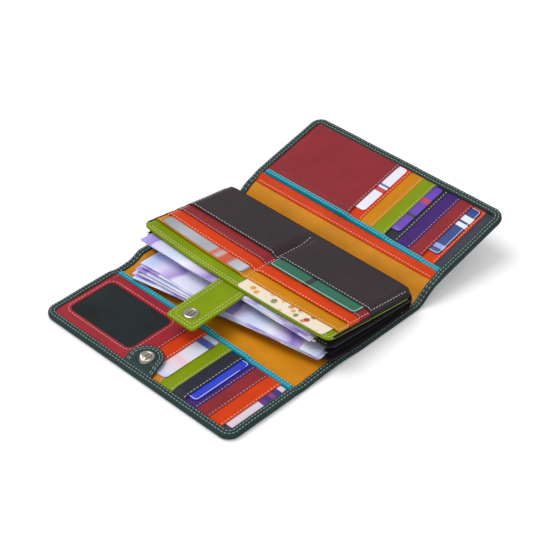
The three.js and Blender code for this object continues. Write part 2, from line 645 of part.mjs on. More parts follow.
// The top leaf's base and its four pocket panels, each over the one before, with the cards between them
function topLeaf() {
  const leaf = new THREE.Group();
  const outline = leafOutline(LEAF_WIDTH, LEAF_LENGTH, LEAF_TAIL, LEAF_RADIUS);
  leaf.add(part('leaf_lime', plate(outline, 0, LEAF_THICKNESS), leather(LIME)));
  const leftCard = -LEAF_SEAM - COLUMN_PLAY - CARD_LENGTH;
  const rightCard = LEAF_SEAM + COLUMN_PLAY;
  const panels = [
    { name: 'leaf_ochre', colour: OCHRE, card: ['leaf_card_patterned', rightCard - 1.3, 11.6, '#e9dcc6'] },
    { name: 'leaf_orange', colour: ORANGE, card: ['leaf_card_grey', leftCard + 0.7, 10.3, '#b3b6bf'] },
    { name: 'leaf_burgundy', colour: BURGUNDY },
    { name: 'leaf_plum', colour: PLUM, card: ['leaf_card_green', rightCard - 1.8, 11.4, '#0f7a5c'] },
  ];
  let z = LEAF_THICKNESS;
  panels.forEach((panel, i) => {
    const mouth = LEAF_LENGTH - LEAF_BARE - i * LEAF_PITCH;
    const bottom = z + CONTACT;
    const room = panel.card ? CARD_SPACE - CONTACT : 0;
    const top = bottom + room + LEAF_PANEL;
    leaf.add(part(panel.name, leafPanel(mouth, bottom, top, room), leather(panel.colour)));
    if (panel.card) {
      const [name, x0, shows, colour] = panel.card;
      leaf.add(card(name, x0, -mouth - shows, z + CONTACT, colour));
    }
    z = top;
  });
  leaf.position.set(0, LEAF_FOLD, LEAF_HEIGHT);
  leaf.rotation.x = radians(-LEAF_TILT);
  return leaf;
}

// Strap that holds the notes: sewn under the free edge of the top leaf, with its press fastener head.
// Its group's origin is the line that it folds about, just past the leaf's free edge.
function strap() {
  const group = new THREE.Group();
  const z1 = -STRAP_DROP;
  const z0 = z1 - STRAP_THICKNESS;
  const shape = roundedRectangle(-STRAP_WIDTH / 2, STRAP_WIDTH / 2, -STRAP_LENGTH + STRAP_TUCK, STRAP_TUCK,
    [STRAP_CORNER, STRAP_CORNER, 0, 0]);
  const body = drilled(plate(shape, z0, z1), 0, -STRAP_SNAP_FROM_ROOT, z0 - 1, z1 + 1, SNAP_STEM + CONTACT);
  group.add(part('strap', body, leather(LIME)));
  const snap = snapHead(STRAP_THICKNESS);
  snap.translate(0, -STRAP_SNAP_FROM_ROOT, z0);
  group.add(part('strap_snap', snap, metal(NICKEL)));
  const edge = LEAF_FOLD - LEAF_LENGTH * Math.cos(radians(LEAF_TILT));
  group.position.set(0, edge - STRAP_HINGE_OUT, leafBase(edge) + STRAP_HINGE_RISE);
  group.rotation.x = radians(STRAP_TILT);
  return group;
}

// The finished purse stands centred on the origin with its underside on z = 0
const purse = new THREE.Group();
purse.add(leftPanel(), leftSpine(), centrePanel(), rightSpine(), rightPanel(), organizer(), strap());
purse.updateMatrixWorld(true);
const extent = new THREE.Box3().setFromObject(purse, true);
const middle = extent.getCenter(new THREE.Vector3());
purse.position.set(-middle.x, -middle.y, -extent.min.z);
export default purse;
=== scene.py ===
"""Looks of a large trifold purse of coloured leather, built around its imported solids.

Lengths in this file are in millimetres on the purse's own plan: x along the spines, y from the inner line of
the left panel's rim, z up. place() turns them into metres in the frame of the solids.
"""

import math

import bmesh
import bpy
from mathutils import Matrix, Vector


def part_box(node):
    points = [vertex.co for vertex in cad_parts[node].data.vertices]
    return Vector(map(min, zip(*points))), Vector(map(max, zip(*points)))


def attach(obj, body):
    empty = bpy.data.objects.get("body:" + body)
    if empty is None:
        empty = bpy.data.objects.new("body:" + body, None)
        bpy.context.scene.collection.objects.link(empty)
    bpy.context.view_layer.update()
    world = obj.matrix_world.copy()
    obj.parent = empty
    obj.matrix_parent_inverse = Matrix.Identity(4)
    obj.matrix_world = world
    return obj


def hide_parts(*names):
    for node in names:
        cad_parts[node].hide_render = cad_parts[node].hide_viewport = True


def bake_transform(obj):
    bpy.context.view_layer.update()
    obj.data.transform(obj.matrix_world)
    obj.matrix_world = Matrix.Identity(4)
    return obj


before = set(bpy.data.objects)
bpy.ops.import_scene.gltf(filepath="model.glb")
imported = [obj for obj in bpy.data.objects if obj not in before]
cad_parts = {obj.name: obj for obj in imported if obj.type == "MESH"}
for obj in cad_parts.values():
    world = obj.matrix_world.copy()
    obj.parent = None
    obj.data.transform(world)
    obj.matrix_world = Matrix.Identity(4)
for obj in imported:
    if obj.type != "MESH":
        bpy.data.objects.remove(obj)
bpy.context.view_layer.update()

bl_info = {
    "name": "Trifold Purse",
    "version": (1, 0, 0),
    "blender": (4, 5, 0),
    "location": "View3D > Sidebar > Purse",
    "description": "Leather, thread, cards and notes for the trifold purse",
    "category": "Object",
}

MM = 0.001
# The solid of the centre starts a joint's gap beyond the spine, and that edge ties the plan to the frame
CENTRE = (92.0, 190.0)
JOINT_GAP = 0.3
SHIFT = CENTRE[0] + JOINT_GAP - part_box("centre_cover")[0].y / MM

# Plan of the purse
HALF_COVER = 98.5
RIM = 6.5
HALF_INNER = HALF_COVER - RIM
RIM_HEIGHT = 5.2
LOW_RIM = 3.2
CORNER = 10.0
LEFT_END = 66.0
RIGHT_START = 213.0
RIGHT_RISE = 11.8
RIGHT_TILT = math.radians(13.5)
RIGHT_LENGTH = 84.0
SPINE_HUMP = 0.7
SPINE_REACH = 9.66
COVER_THICK = 1.0
LINING_THICK = 1.2
SHEET_ROLL = 0.3

# Sizes of the grids that let a sheet bend
GRID = 3.0
FINE_GRID = 2.0
SPINE_GRID = (3.0, 0.8)

# Pocket strips and cards
MOUTH = -2.3
PITCH = 12.3
STRIPS = 7
# Length, width and thickness of a bank card, and the room that one takes between two strips
CARD = (85.6, 54.0, 0.76)
CARD_SPACE = 0.96

# Organizer
LEAF_FOLD = 178.0
LEAF_HALF = 96.7
LEAF_LENGTH = 84.5
LEAF_TILT = math.radians(6.93)
LEAF_Z = 16.8
LEAF_SAG = (-2.0, 4.5, -1.0)
LEAF_THICK = 1.4
LEAF_ROLL = 0.5
DIVIDER_LENGTH = 82.0
DIVIDER_TILT = math.radians(4.2)
DIVIDER_Z = 12.5
BACK_LEAF = (96.0, 184.0)
BACK_LEAF_Z = 3.3
# Distance of the pocket mouths from the fold, and top of the base and of each pocket panel above the leaf
LEAF_MOUTHS = (72.0, 60.7, 49.4, 38.1)
LEAF_LEVELS = (1.5, 3.06, 4.62, 5.32, 6.88)

# Strap and tab
STRAP_HINGE = (93.5, 29.0)
STRAP_TILT = math.radians(4.0)
STRAP_LENGTH = 53.5
STRAP_HALF = 14.0
TAB_HALF = 14.5
TAB_LENGTH = 21.0


# Small mathematics
def smooth(t):
    """Eases from 0 to 1 as t goes from 0 to 1, and stays there outside."""
    t = min(max(t, 0.0), 1.0)
    return t * t * (3 - 2 * t)


def mix(a, b, t):
    """Value that lies the share t of the way from a to b."""
    return a + (b - a) * t


def place(x, y, z):
    """Point of the plan, in metres in the frame."""
    return Vector((x * MM, (y - SHIFT) * MM, z * MM))


# Places on the purse: each takes x, y along a panel and height above it, and gives a point of the plan
def edge_lift(x, y):
    """How far the centre's edges curl up off the table next to the left spine."""
    start, full, release, flat = 78, 91, 106, 132
    edge, left_start, right_start = 98, 52, 60
    left_height, right_height = 5.4, 1.4
    rise = smooth((y - start) / (full - start)) * (1 - smooth((y - release) / (flat - release)))
    left = left_height * smooth((-x - left_start) / (edge - left_start))
    right = right_height * smooth((x - right_start) / (edge - right_start))
    return rise * (left + right)


def on_left(x, y, h):
    """The left panel lies flat."""
    return x, y, h


def on_centre(x, y, h):
    """The centre lies flat but for its curling edges, and the left spine humps up a little before it."""
    hump = SPINE_HUMP * math.sin(math.pi * smooth((y - LEFT_END) / (CENTRE[0] - LEFT_END))) ** 2
    return x, y, hump + edge_lift(x, y) + h


def on_right(x, y, h):
    """The right panel leans back from the end of its spine."""
    c, s = math.cos(RIGHT_TILT), math.sin(RIGHT_TILT)
    return x, RIGHT_START + y * c - h * s, RIGHT_RISE + y * s + h * c


def on_right_spine(x, y, h):
    """Curve from the flat centre up to the tilted right panel."""
    u = min(max((y - CENTRE[1]) / (RIGHT_START - CENTRE[1]), 0), 1)
    points = ((CENTRE[1], 0), (CENTRE[1] + SPINE_REACH, 0),
              (RIGHT_START - SPINE_REACH, RIGHT_RISE - SPINE_REACH * math.tan(RIGHT_TILT)),
              (RIGHT_START, RIGHT_RISE))
    weights = ((1 - u) ** 3, 3 * u * (1 - u) ** 2, 3 * u * u * (1 - u), u ** 3)
    slopes = (-(1 - u) ** 2, (1 - u) ** 2 - 2 * u * (1 - u), 2 * u * (1 - u) - u * u, u * u)
    py, pz = (sum(w * p[i] for w, p in zip(weights, points)) for i in (0, 1))
    dy, dz = (sum(w * p[i] for w, p in zip(slopes, points)) for i in (0, 1))
    length = math.hypot(dy, dz)
    return x, py - dz / length * h, pz + dy / length * h


def leaf_sag(x):
    """How far the leaf's free edge stands above a flat leaf: low in the middle, higher at the left corner."""
    middle, bow, lean = LEAF_SAG
    u = x / LEAF_HALF
    return middle + bow * u * u + lean * u ** 3


def divider_sag(x):
    """The divider sags less than the leaf above it."""
    return 0.4 * leaf_sag(x) + 0.4


def tilted_leaf(x, y, h, tilt, z0, sag):
    """A leaf rises forwards from the fold, and its free edge, at negative y, bends up or down by the sag."""
    bend = sag * smooth(-y / LEAF_LENGTH) * max(-y / LEAF_LENGTH, 0)
    c, s = math.cos(tilt), math.sin(tilt)
    return x, LEAF_FOLD + y * c + h * s, z0 - y * s + h * c + bend


def on_leaf(x, y, h):
    return tilted_leaf(x, y, h, LEAF_TILT, LEAF_Z, leaf_sag(x))


def on_divider(x, y, h):
    return tilted_leaf(x, y, h, DIVIDER_TILT, DIVIDER_Z, divider_sag(x))


def on_back_leaf(x, y, h):
    """The leaf under the notes turns up towards its free edge and follows the curl of the cover."""
    front_rise, bend = 3.0, 116
    rise = front_rise * max(0.0, (bend - y) / (bend - BACK_LEAF[0]))
    return x, y, BACK_LEAF_Z + rise + 0.9 * edge_lift(x, y) + h


def on_strap(x, y, h):
    """The strap hangs a little lower at its root, under the sagging middle of the leaf."""
    end_drop, root_drop, run = 2.6, 1.9, 54
    h -= end_drop + root_drop * (1 - smooth(-y / run))
    c, s = math.cos(STRAP_TILT), math.sin(STRAP_TILT)
    return x, STRAP_HINGE[0] + y * c - h * s, STRAP_HINGE[1] + y * s + h * c


# Outlines
SQUARE = (0, 0, 0, 0)


def rounded(x0, x1, y0, y1, radii, steps=6):
    """Counterclockwise outline with a radius for each corner: low-left, low-right, high-right, high-left."""
    corners = ((x0, y0, 1, 1, 180), (x1, y0, -1, 1, 270), (x1, y1, -1, -1, 0), (x0, y1, 1, -1, 90))
    points = []
    for (x, y, sx, sy, start), r in zip(corners, radii):
        count = steps if r else 0
        for i in range(count + 1):
            a = math.radians(start + 90 * i / max(count, 1))
            points.append((x + sx * r + r * math.cos(a), y + sy * r + r * math.sin(a)))
    return points


CORNER_STEPS = 8


def u_path(inset, y_open, y_far, radius=CORNER, half=HALF_COVER, step=3.0):
    """Line that runs parallel to the edge on three sides, from one end of a spine to the other."""
    sign = 1 if y_far > y_open else -1
    x, y, r = half - inset, y_far - sign * inset, radius - inset
    points = []
    count = max(int(abs(y_far - y_open - sign * radius) / step), 2)
    for i in range(count):
        points.append((-x, mix(y_open, y - sign * r, i / count)))
    for i in range(CORNER_STEPS + 1):
        a = math.pi / 2 / CORNER_STEPS * i
        points.append((-x + r - r * math.cos(a), y - sign * r + sign * r * math.sin(a)))
    mirrored = [(-px, py) for px, py in reversed(points)]
    count = int(2 * (x - r) / step)
    for i in range(1, count):
        points.append((mix(-x + r, x - r, i / count), y))
    return points + mirrored


def resampled(path, pitch):
    """Points and directions at even steps along a line."""
    pieces = [(Vector(a), Vector(b)) for a, b in zip(path, path[1:])]
    total = sum((b - a).length for a, b in pieces)
    count = max(int(total / pitch), 1)
    found, travelled, index = [], 0.0, 0
    for i in range(count):
        goal = total * (i + 0.5) / count
        while index < len(pieces) - 1 and travelled + (pieces[index][1] - pieces[index][0]).length < goal:
            travelled += (pieces[index][1] - pieces[index][0]).length
            index += 1
        a, b = pieces[index]
        along = (b - a).normalized()
        found.append((a + along * (goal - travelled), along))
    return found


# Meshes
# Distance below which two places are the same
NEAR = 1e-4


def slab(outline, low, high, roll, step, hole=None, joins=()):
    """Flat sheet with rolled edges, cut into a grid so that it bends; ends at y in joins stay square."""
    bm = bmesh.new()
    edges = []
    for loop in [outline] + ([hole] if hole else []):
        verts = [bm.verts.new((x, y, low)) for x, y in loop]
        edges += [bm.edges.new(pair) for pair in zip(verts, verts[1:] + verts[:1])]
    bmesh.ops.triangle_fill(bm, edges=edges, use_beauty=True)
    bmesh.ops.dissolve_limit(bm, angle_limit=0.01, verts=bm.verts[:], edges=bm.edges[:],
                             use_dissolve_boundaries=False)
    for axis, pitch in enumerate(step if isinstance(step, tuple) else (step, step)):
        near = min(v.co[axis] for v in bm.verts)
        far = max(v.co[axis] for v in bm.verts)
        count = max(int((far - near) / pitch), 1)
        direction = Vector((axis == 0, axis == 1, 0))
        for i in range(1, count):
            bmesh.ops.bisect_plane(bm, geom=bm.verts[:] + bm.edges[:] + bm.faces[:], dist=NEAR,
                                   plane_co=direction * mix(near, far, i / count), plane_no=direction)
    grown = bmesh.ops.extrude_face_region(bm, geom=bm.faces[:])["geom"]
    lifted = [v for v in grown if isinstance(v, bmesh.types.BMVert)]
    bmesh.ops.translate(bm, vec=(0, 0, high - low), verts=lifted)
    bmesh.ops.recalc_face_normals(bm, faces=bm.faces[:])
    sharp = [e for e in bm.edges if e.calc_face_angle(0) > 1 and abs(e.verts[0].co.z - e.verts[1].co.z) < NEAR
             and not any(all(abs(v.co.y - y) < 10 * NEAR for v in e.verts) for y in joins)]
    bmesh.ops.bevel(bm, geom=sharp, offset=roll, offset_type="OFFSET", segments=3, profile=0.5,
                    affect="EDGES", material=-1, clamp_overlap=True)
    return bm


def bent(bm, shape):
    """Carries a flat mesh from its plan onto a place on the purse."""
    for v in bm.verts:
        v.co = place(*shape(*v.co))
    return bm


def loft(bm, rings):
    """Closed tube through rings of vertices."""
    count = len(rings[0])
    for one, other in zip(rings, rings[1:]):
        for i in range(count):
            k = (i + 1) % count
            bm.faces.new((one[i], one[k], other[k], other[i]))
    bm.faces.new(rings[0][::-1])
    bm.faces.new(rings[-1])


def sweep(bm, path, profile, height, shape):
    """Closed profile of (distance to the left of the line, share of the height) carried along a line."""
    rings = []
    for i, (x, y) in enumerate(path):
        a, b = path[max(i - 1, 0)], path[min(i + 1, len(path) - 1)]
        along = (Vector(b) - Vector(a)).normalized()
        ring = []
        for d, share in profile:
            px, py = x - along.y * d, y + along.x * d
            ring.append(bm.verts.new(place(*shape(px, py, share * height(px, py)))))
        rings.append(ring)
    loft(bm, rings)
    return bm


def turned(profile, steps, centre, shape):
    """Metal piece turned about an upright axis through a point of a panel."""
    bm = bmesh.new()
    verts = [bm.verts.new((r, 0, z)) for r, z in profile]
    edges = [bm.edges.new(pair) for pair in zip(verts, verts[1:])]
    bmesh.ops.spin(bm, geom=verts + edges, axis=(0, 0, 1), cent=(0, 0, 0), angle=2 * math.pi, steps=steps,
                   use_merge=True)
    bmesh.ops.remove_doubles(bm, verts=bm.verts[:], dist=NEAR)
    bmesh.ops.recalc_face_normals(bm, faces=bm.faces[:])
    return bent(bm, lambda x, y, z: shape(x + centre[0], y + centre[1], z + centre[2]))


# Rings of one stitch: place along it as a share of its length, height above the leather, share of the width
STITCH = ((-0.5, -0.3, 0.5), (-0.36, 0.1, 0.85), (0.0, 0.2, 1.0), (0.36, 0.1, 0.85), (0.5, -0.3, 0.5))
STITCH_SIDES = 6
STITCH_HALF_HEIGHT = 0.2
threads = {}


def sew(body, colour, path, height, shape, blend=None):
    """Row of stitches along a line; rows of one colour on one body are kept together."""
    settings = bpy.context.scene.purse
    length, width = settings.stitch_length / MM, settings.thread_width / MM
    if (body, colour, blend) not in threads:
        threads[body, colour, blend] = bmesh.new()
    bm = threads[body, colour, blend]
    for centre, along in resampled(path, settings.stitch_pitch / MM):
        across = Vector((-along.y, along.x))
        rings = []
        for s, lift, fat in STITCH:
            base = centre + along * s * length
            top = height(base.x, base.y) + lift
            ring = []
            for i in range(STITCH_SIDES):
                a = 2 * math.pi / STITCH_SIDES * i
                p = base + across * width * fat * math.cos(a)
                z = top + STITCH_HALF_HEIGHT * fat * math.sin(a)
                ring.append(bm.verts.new(place(*shape(p.x, p.y, z))))
            rings.append(ring)
        loft(bm, rings)


def piece(name, bm, material, body=None, blend=None, replaces=(), sharp=50):
    """One object from a finished mesh, moving with a body, or with its place baked in where it joins two of
    them.
    """
    mesh = bpy.data.meshes.new(name)
    bmesh.ops.recalc_face_normals(bm, faces=bm.faces[:])
    bm.to_mesh(mesh)
    bm.free()
    mesh.shade_smooth()
    mesh.set_sharp_from_angle(angle=math.radians(sharp))
    mesh.materials.append(material)
    obj = bpy.data.objects.new(name, mesh)
    bpy.context.scene.collection.objects.link(obj)
    if blend:
        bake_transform(obj)
    else:
        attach(obj, body)
    if replaces:
        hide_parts(*replaces)
    return obj


# Materials
def linear(code, alpha=1.0):
    """Scene-linear colour from a six-digit sRGB code."""
    values = [int(code[i:i + 2], 16) / 255 for i in (1, 3, 5)]
    return tuple(v / 12.92 if v <= 0.04045 else ((v + 0.055) / 1.055) ** 2.4 for v in values) + (alpha,)


def node(tree, kind, links=(), **settings):
    """Adds a node: settings by socket or property name, links as (socket, source node, source socket)."""
    made = tree.nodes.new(kind)
    for key, value in settings.items():
        if key in made.inputs:
            made.inputs[key].default_value = value
        elif key.replace("_", " ") in made.inputs:
            made.inputs[key.replace("_", " ")].default_value = value
        else:
            setattr(made, key, value)
    for socket, source, output in links:
        tree.links.new(source.outputs[output], made.inputs[socket])
    return made


def new_material(name):
    """Material with a bare Principled shader, and its tree and shader."""
    material = bpy.data.materials.new(name)
    material.use_nodes = True
    tree = material.node_tree
    tree.nodes.clear()
    shader = node(tree, "ShaderNodeBsdfPrincipled")
    node(tree, "ShaderNodeOutputMaterial", [("Surface", shader, "BSDF")])
    return material, tree, shader


def shades(tree, source, output, stops):
    """Colour ramp between (place, colour code) stops."""
    ramp = node(tree, "ShaderNodeValToRGB", [("Fac", source, output)])
    elements = ramp.color_ramp.elements
    while len(elements) < len(stops):
        elements.new(0.5)
    for element, (at, code) in zip(elements, stops):
        element.position = at
        element.color = linear(code)
    return ramp


def noise_scale(size):
    """Texture scale that makes the blobs or cells of a pattern about size millimetres wide."""
    return 1 / (size * MM)


def wave_scale(spacing):
    """Texture scale that sets the bands of a wave pattern spacing millimetres apart."""
    return math.pi / 10 / (spacing * MM)


def scaled(code, factor):
    """A darker or lighter colour code."""
    values = [min(255, round(int(code[i:i + 2], 16) * factor)) for i in (1, 3, 5)]
    return "#%02x%02x%02x" % tuple(values)


# Real sizes of the finishes, in millimetres
DYE_CLOUD = 26.3
PEBBLE = 0.91
CREASE = 2.38
WEAVE = 0.6
PLY = 0.45
HANDLING_MARK = 1.67
FILM_WAVE = 35.7


def leather(name, code, grain, roughness, spread=0.05):
    """Milled, aniline-dyed calf: a pebble grain with fine creases, and soft clouding of the dye."""
    material, tree, shader = new_material(name)
    at = node(tree, "ShaderNodeTexCoord")
    cloud = node(tree, "ShaderNodeTexNoise", [("Vector", at, "Object")], Scale=noise_scale(DYE_CLOUD),
                 Detail=4.0, Roughness=0.55)
    dye = shades(tree, cloud, "Fac", [(0.3, scaled(code, 1 - spread)), (0.7, scaled(code, 1 + spread))])
    pebble = node(tree, "ShaderNodeTexVoronoi", [("Vector", at, "Object")], Scale=noise_scale(PEBBLE),
                  feature="SMOOTH_F1")
    crease = node(tree, "ShaderNodeTexNoise", [("Vector", at, "Object")], Scale=noise_scale(CREASE),
                  Detail=3.0)
    relief = node(tree, "ShaderNodeMath", [(0, pebble, "Distance"), (1, crease, "Fac")], operation="ADD")
    bump = node(tree, "ShaderNodeBump", [("Height", relief, "Value")], Strength=0.55, Distance=grain)
    gloss = node(tree, "ShaderNodeMapRange", [("Value", crease, "Fac")], From_Min=0.3, From_Max=0.7,
                 To_Min=roughness - 0.06, To_Max=roughness + 0.1)
    tree.links.new(dye.outputs["Color"], shader.inputs["Base Color"])
    tree.links.new(bump.outputs["Normal"], shader.inputs["Normal"])
    tree.links.new(gloss.outputs["Result"], shader.inputs["Roughness"])
    shader.inputs["Specular IOR Level"].default_value = 0.09
    return material


def woven(name, code):
    """Plain-weave lining with threads both ways, drawn coarser than real so they show: painted shade between
    the threads, painted highlight where they cross.
    """
    material, tree, shader = new_material(name)
    at = node(tree, "ShaderNodeTexCoord")
    weft = node(tree, "ShaderNodeTexWave", [("Vector", at, "Object")], Scale=wave_scale(WEAVE),
                bands_direction="X")
    warp = node(tree, "ShaderNodeTexWave", [("Vector", at, "Object")], Scale=wave_scale(WEAVE),
                bands_direction="Y")
    cloth = node(tree, "ShaderNodeMath", [(0, weft, "Fac"), (1, warp, "Fac")], operation="MULTIPLY")
    # painted shade and highlight: the colour is darker in the gaps of the weave and lighter where the threads
    # cross
    dye = shades(tree, cloth, "Value", [(0.1, scaled(code, 0.8)), (0.8, scaled(code, 1.2))])
    bump = node(tree, "ShaderNodeBump", [("Height", cloth, "Value")], Strength=0.5, Distance=0.0001)
    tree.links.new(dye.outputs["Color"], shader.inputs["Base Color"])
    tree.links.new(bump.outputs["Normal"], shader.inputs["Normal"])
    shader.inputs["Roughness"].default_value = 0.75
    shader.inputs["Sheen Weight"].default_value = 0.2
    return material


def thread(name, code):
    """Bonded polyester sewing thread: painted shade in the grooves between its twisted plies darkens each
    stitch a little.
    """
    material, tree, shader = new_material(name)
    at = node(tree, "ShaderNodeTexCoord")
    ply = node(tree, "ShaderNodeTexWave", [("Vector", at, "Object")], Scale=wave_scale(PLY),
               bands_direction="DIAGONAL")
    # painted shade: the thread's colour is darker in the grooves of the ply wave, where the bump sinks
    dye = shades(tree, ply, "Fac", [(0.0, scaled(code, 0.82)), (0.6, code)])
    bump = node(tree, "ShaderNodeBump", [("Height", ply, "Fac")], Strength=0.4, Distance=0.0001)
    tree.links.new(dye.outputs["Color"], shader.inputs["Base Color"])
    tree.links.new(bump.outputs["Normal"], shader.inputs["Normal"])
    shader.inputs["Roughness"].default_value = 0.6
    shader.inputs["Sheen Weight"].default_value = 0.25
    return material


def nickel(name):
    """Polished nickel plate: sharp reflections, softened here and there by faint handling marks."""
    material, tree, shader = new_material(name)
    at = node(tree, "ShaderNodeTexCoord")
    marks = node(tree, "ShaderNodeTexNoise", [("Vector", at, "Object")], Scale=noise_scale(HANDLING_MARK),
                 Detail=4.0)
    gloss = node(tree, "ShaderNodeMapRange", [("Value", marks, "Fac")], To_Min=0.14, To_Max=0.3)
    tree.links.new(gloss.outputs["Result"], shader.inputs["Roughness"])
    shader.inputs["Base Color"].default_value = linear("#a8a196")
    shader.inputs["Metallic"].default_value = 1.0
    return material


def film(name):
    """Clear vinyl window lying on dark lining: a deep gloss with slow waves in it, and painted reflection
    that makes the colour lighter where the waves rise.
    """
    material, tree, shader = new_material(name)
    at = node(tree, "ShaderNodeTexCoord")
    wave = node(tree, "ShaderNodeTexNoise", [("Vector", at, "Object")], Scale=noise_scale(FILM_WAVE),
                Detail=2.0)
    # painted reflection: the colour is lighter where the waves rise and darker where they sink
    dye = shades(tree, wave, "Fac", [(0.35, "#0e1618"), (0.7, "#1a2629")])
    bump = node(tree, "ShaderNodeBump", [("Height", wave, "Fac")], Strength=0.35, Distance=0.0015)
    tree.links.new(dye.outputs["Color"], shader.inputs["Base Color"])
    tree.links.new(bump.outputs["Normal"], shader.inputs["Normal"])
    shader.inputs["Roughness"].default_value = 0.16
    shader.inputs["Specular IOR Level"].default_value = 0.2
    return material


def printed(name, stops, direction="X", gloss=0.3, twist=0.0, crisp=False):
    """Laminated card or printed paper: fields of colour along one side of it, hard-edged if crisp."""
    material, tree, shader = new_material(name)
    at = node(tree, "ShaderNodeUVMap", uv_map="print")
    bend = node(tree, "ShaderNodeTexNoise", [("Vector", at, "UV")], Scale=2.2, Detail=1.0)
    split = node(tree, "ShaderNodeSeparateXYZ", [("Vector", at, "UV")])
    shift = node(tree, "ShaderNodeMath", [(0, bend, "Fac")], operation="MULTIPLY")
    shift.inputs[1].default_value = twist
    total = node(tree, "ShaderNodeMath", [(0, split, direction), (1, shift, "Value")], operation="ADD")
    repeat = node(tree, "ShaderNodeMath", [(0, total, "Value")], operation="FRACT")
    fields = shades(tree, repeat, "Value", stops)
    if crisp:
        fields.color_ramp.interpolation = "CONSTANT"
    tree.links.new(fields.outputs["Color"], shader.inputs["Base Color"])
    shader.inputs["Roughness"].default_value = gloss
    return material


def dotted(name, ground, dots):
    """Laminated cream card printed with a scatter of round spots of a few colours."""
    material, tree, shader = new_material(name)
    across, down, spot_share = 15.0, 9.0, 0.42
    at = node(tree, "ShaderNodeUVMap", uv_map="print")
    wide = node(tree, "ShaderNodeMapping", [("Vector", at, "UV")], Scale=(across, down, 1.0))
    spots = node(tree, "ShaderNodeTexVoronoi", [("Vector", wide, "Vector")], Scale=1.0)
    hue = node(tree, "ShaderNodeSeparateColor", [("Color", spots, "Color")])
    colour = shades(tree, hue, "Red", [(i / len(dots), code) for i, code in enumerate(dots)])
    colour.color_ramp.interpolation = "CONSTANT"
    inside = node(tree, "ShaderNodeMath", [(0, spots, "Distance")], operation="LESS_THAN")
    inside.inputs[1].default_value = spot_share
    base = node(tree, "ShaderNodeMix", [("Factor", inside, "Value")], data_type="RGBA")
    plain, spotted, mixed = 6, 7, 2
    base.inputs[plain].default_value = linear(ground)
    tree.links.new(colour.outputs["Color"], base.inputs[spotted])
    tree.links.new(base.outputs[mixed], shader.inputs["Base Color"])
    shader.inputs["Roughness"].default_value = 0.35
    return material


LEATHERS = {
    "cover": "#293c3c", "red": "#9c2530", "burgundy": "#8a2a30", "orange": "#d03c0c", "ochre": "#c87f08",
    "lining": "#cc8414", "lime": "#7c9202", "charcoal": "#2c2d38", "purple": "#42256e", "teal": "#048ea4",
    "plum": "#352e32", "black": "#1b191c",
}
THREADS = {
    "green": "#b4c6ba", "cream": "#f2dfba", "pink": "#efc0ba", "blue": "#a4ecf2", "white": "#e4e0d8",
    "sand": "#cfc0a8", "lime": "#ecf0a8",
}
NOTE_BANDS = [(0.0, "#e2e2fa"), (0.1, "#eeeefc"), (0.12, "#bda6ec"), (0.2, "#a48edc"), (0.21, "#dcd4f8"),
              (0.34, "#d2e0fa"), (0.42, "#f0f0fc"), (0.5, "#d2c2f2"), (0.54, "#9880d0"), (0.6, "#bfaaea"),
              (0.61, "#eeecfc"), (0.74, "#c2d4f8"), (0.8, "#e4e0fa"), (0.86, "#b29ce2"), (0.88, "#ecebfc"),
              (1.0, "#e2e2fa")]
# Each card's direction of the print, whether its fields are hard-edged, and the fields
CARDS = {
    "left_card_white": ("Y", False, [(0.0, "#b9bde0"), (0.14, "#dcdaee"), (0.3, "#e6d3e2"), (0.42, "#efc3cf"),
                                     (0.5, "#e6dcea"), (0.68, "#dfe0f0"), (0.8, "#d6d8ee"), (0.83, "#4c57a8"),
                                     (0.92, "#5a5fae"), (0.95, "#cfd2ea"), (1.0, "#c6cae6")]),
    "left_card_blue": ("Y", False, [(0.0, "#0a2cc0"), (0.5, "#0b34cc"), (1.0, "#0a2aba")]),
    "left_card_pink": ("Y", True, [(0.0, "#dfccd8"), (0.6, "#5a2a80"), (0.68, "#3b1f78"), (0.78, "#8a2f7a"),
                                   (0.84, "#3b1f78"), (0.94, "#dfccd8")]),
    "right_card_white": ("Y", True, [(0.0, "#e6e4f2"), (0.44, "#c23048"), (0.52, "#e6e4f2"),
                                     (0.56, "#5a62a8"), (0.6, "#e6e4f2")]),
    "right_card_purple": ("Y", True, [(0.0, "#5c2cae"), (0.34, "#2c2a3e"), (0.4, "#5c2cae"),
                                      (0.66, "#b42a58"), (0.76, "#5c2cae")]),
    "right_card_blue": ("Y", True, [(0.0, "#123882"), (0.12, "#8fa6d6"), (0.2, "#123882"), (0.62, "#e2e8f4"),
                                    (0.7, "#123882"), (0.74, "#e2e8f4"), (0.84, "#123882")]),
    "leaf_card_grey": ("X", False, [(0.0, "#8f929b"), (0.3, "#b3b5bd"), (0.5, "#a3a6af"), (0.62, "#a9abb4"),
                                    (0.65, "#d0532e"), (0.72, "#b9b4b6"), (0.76, "#cf4c28"),
                                    (0.84, "#c4563a"), (0.87, "#acafb8"), (1.0, "#c4c6cd")]),
    "leaf_card_green": ("X", True, [(0.0, "#08624a"), (0.43, "#1c1f24"), (0.49, "#08624a")]),
}
NOTE_TWIST = 0.25
CARD_SPOTS = ["#e9d3b4", "#cf8f5e", "#efe2cc", "#b8342c", "#e4b894", "#8a8c5c", "#e0a23c"]
ROUGHNESS = {"plum": 0.42, "black": 0.5}
materials = {}


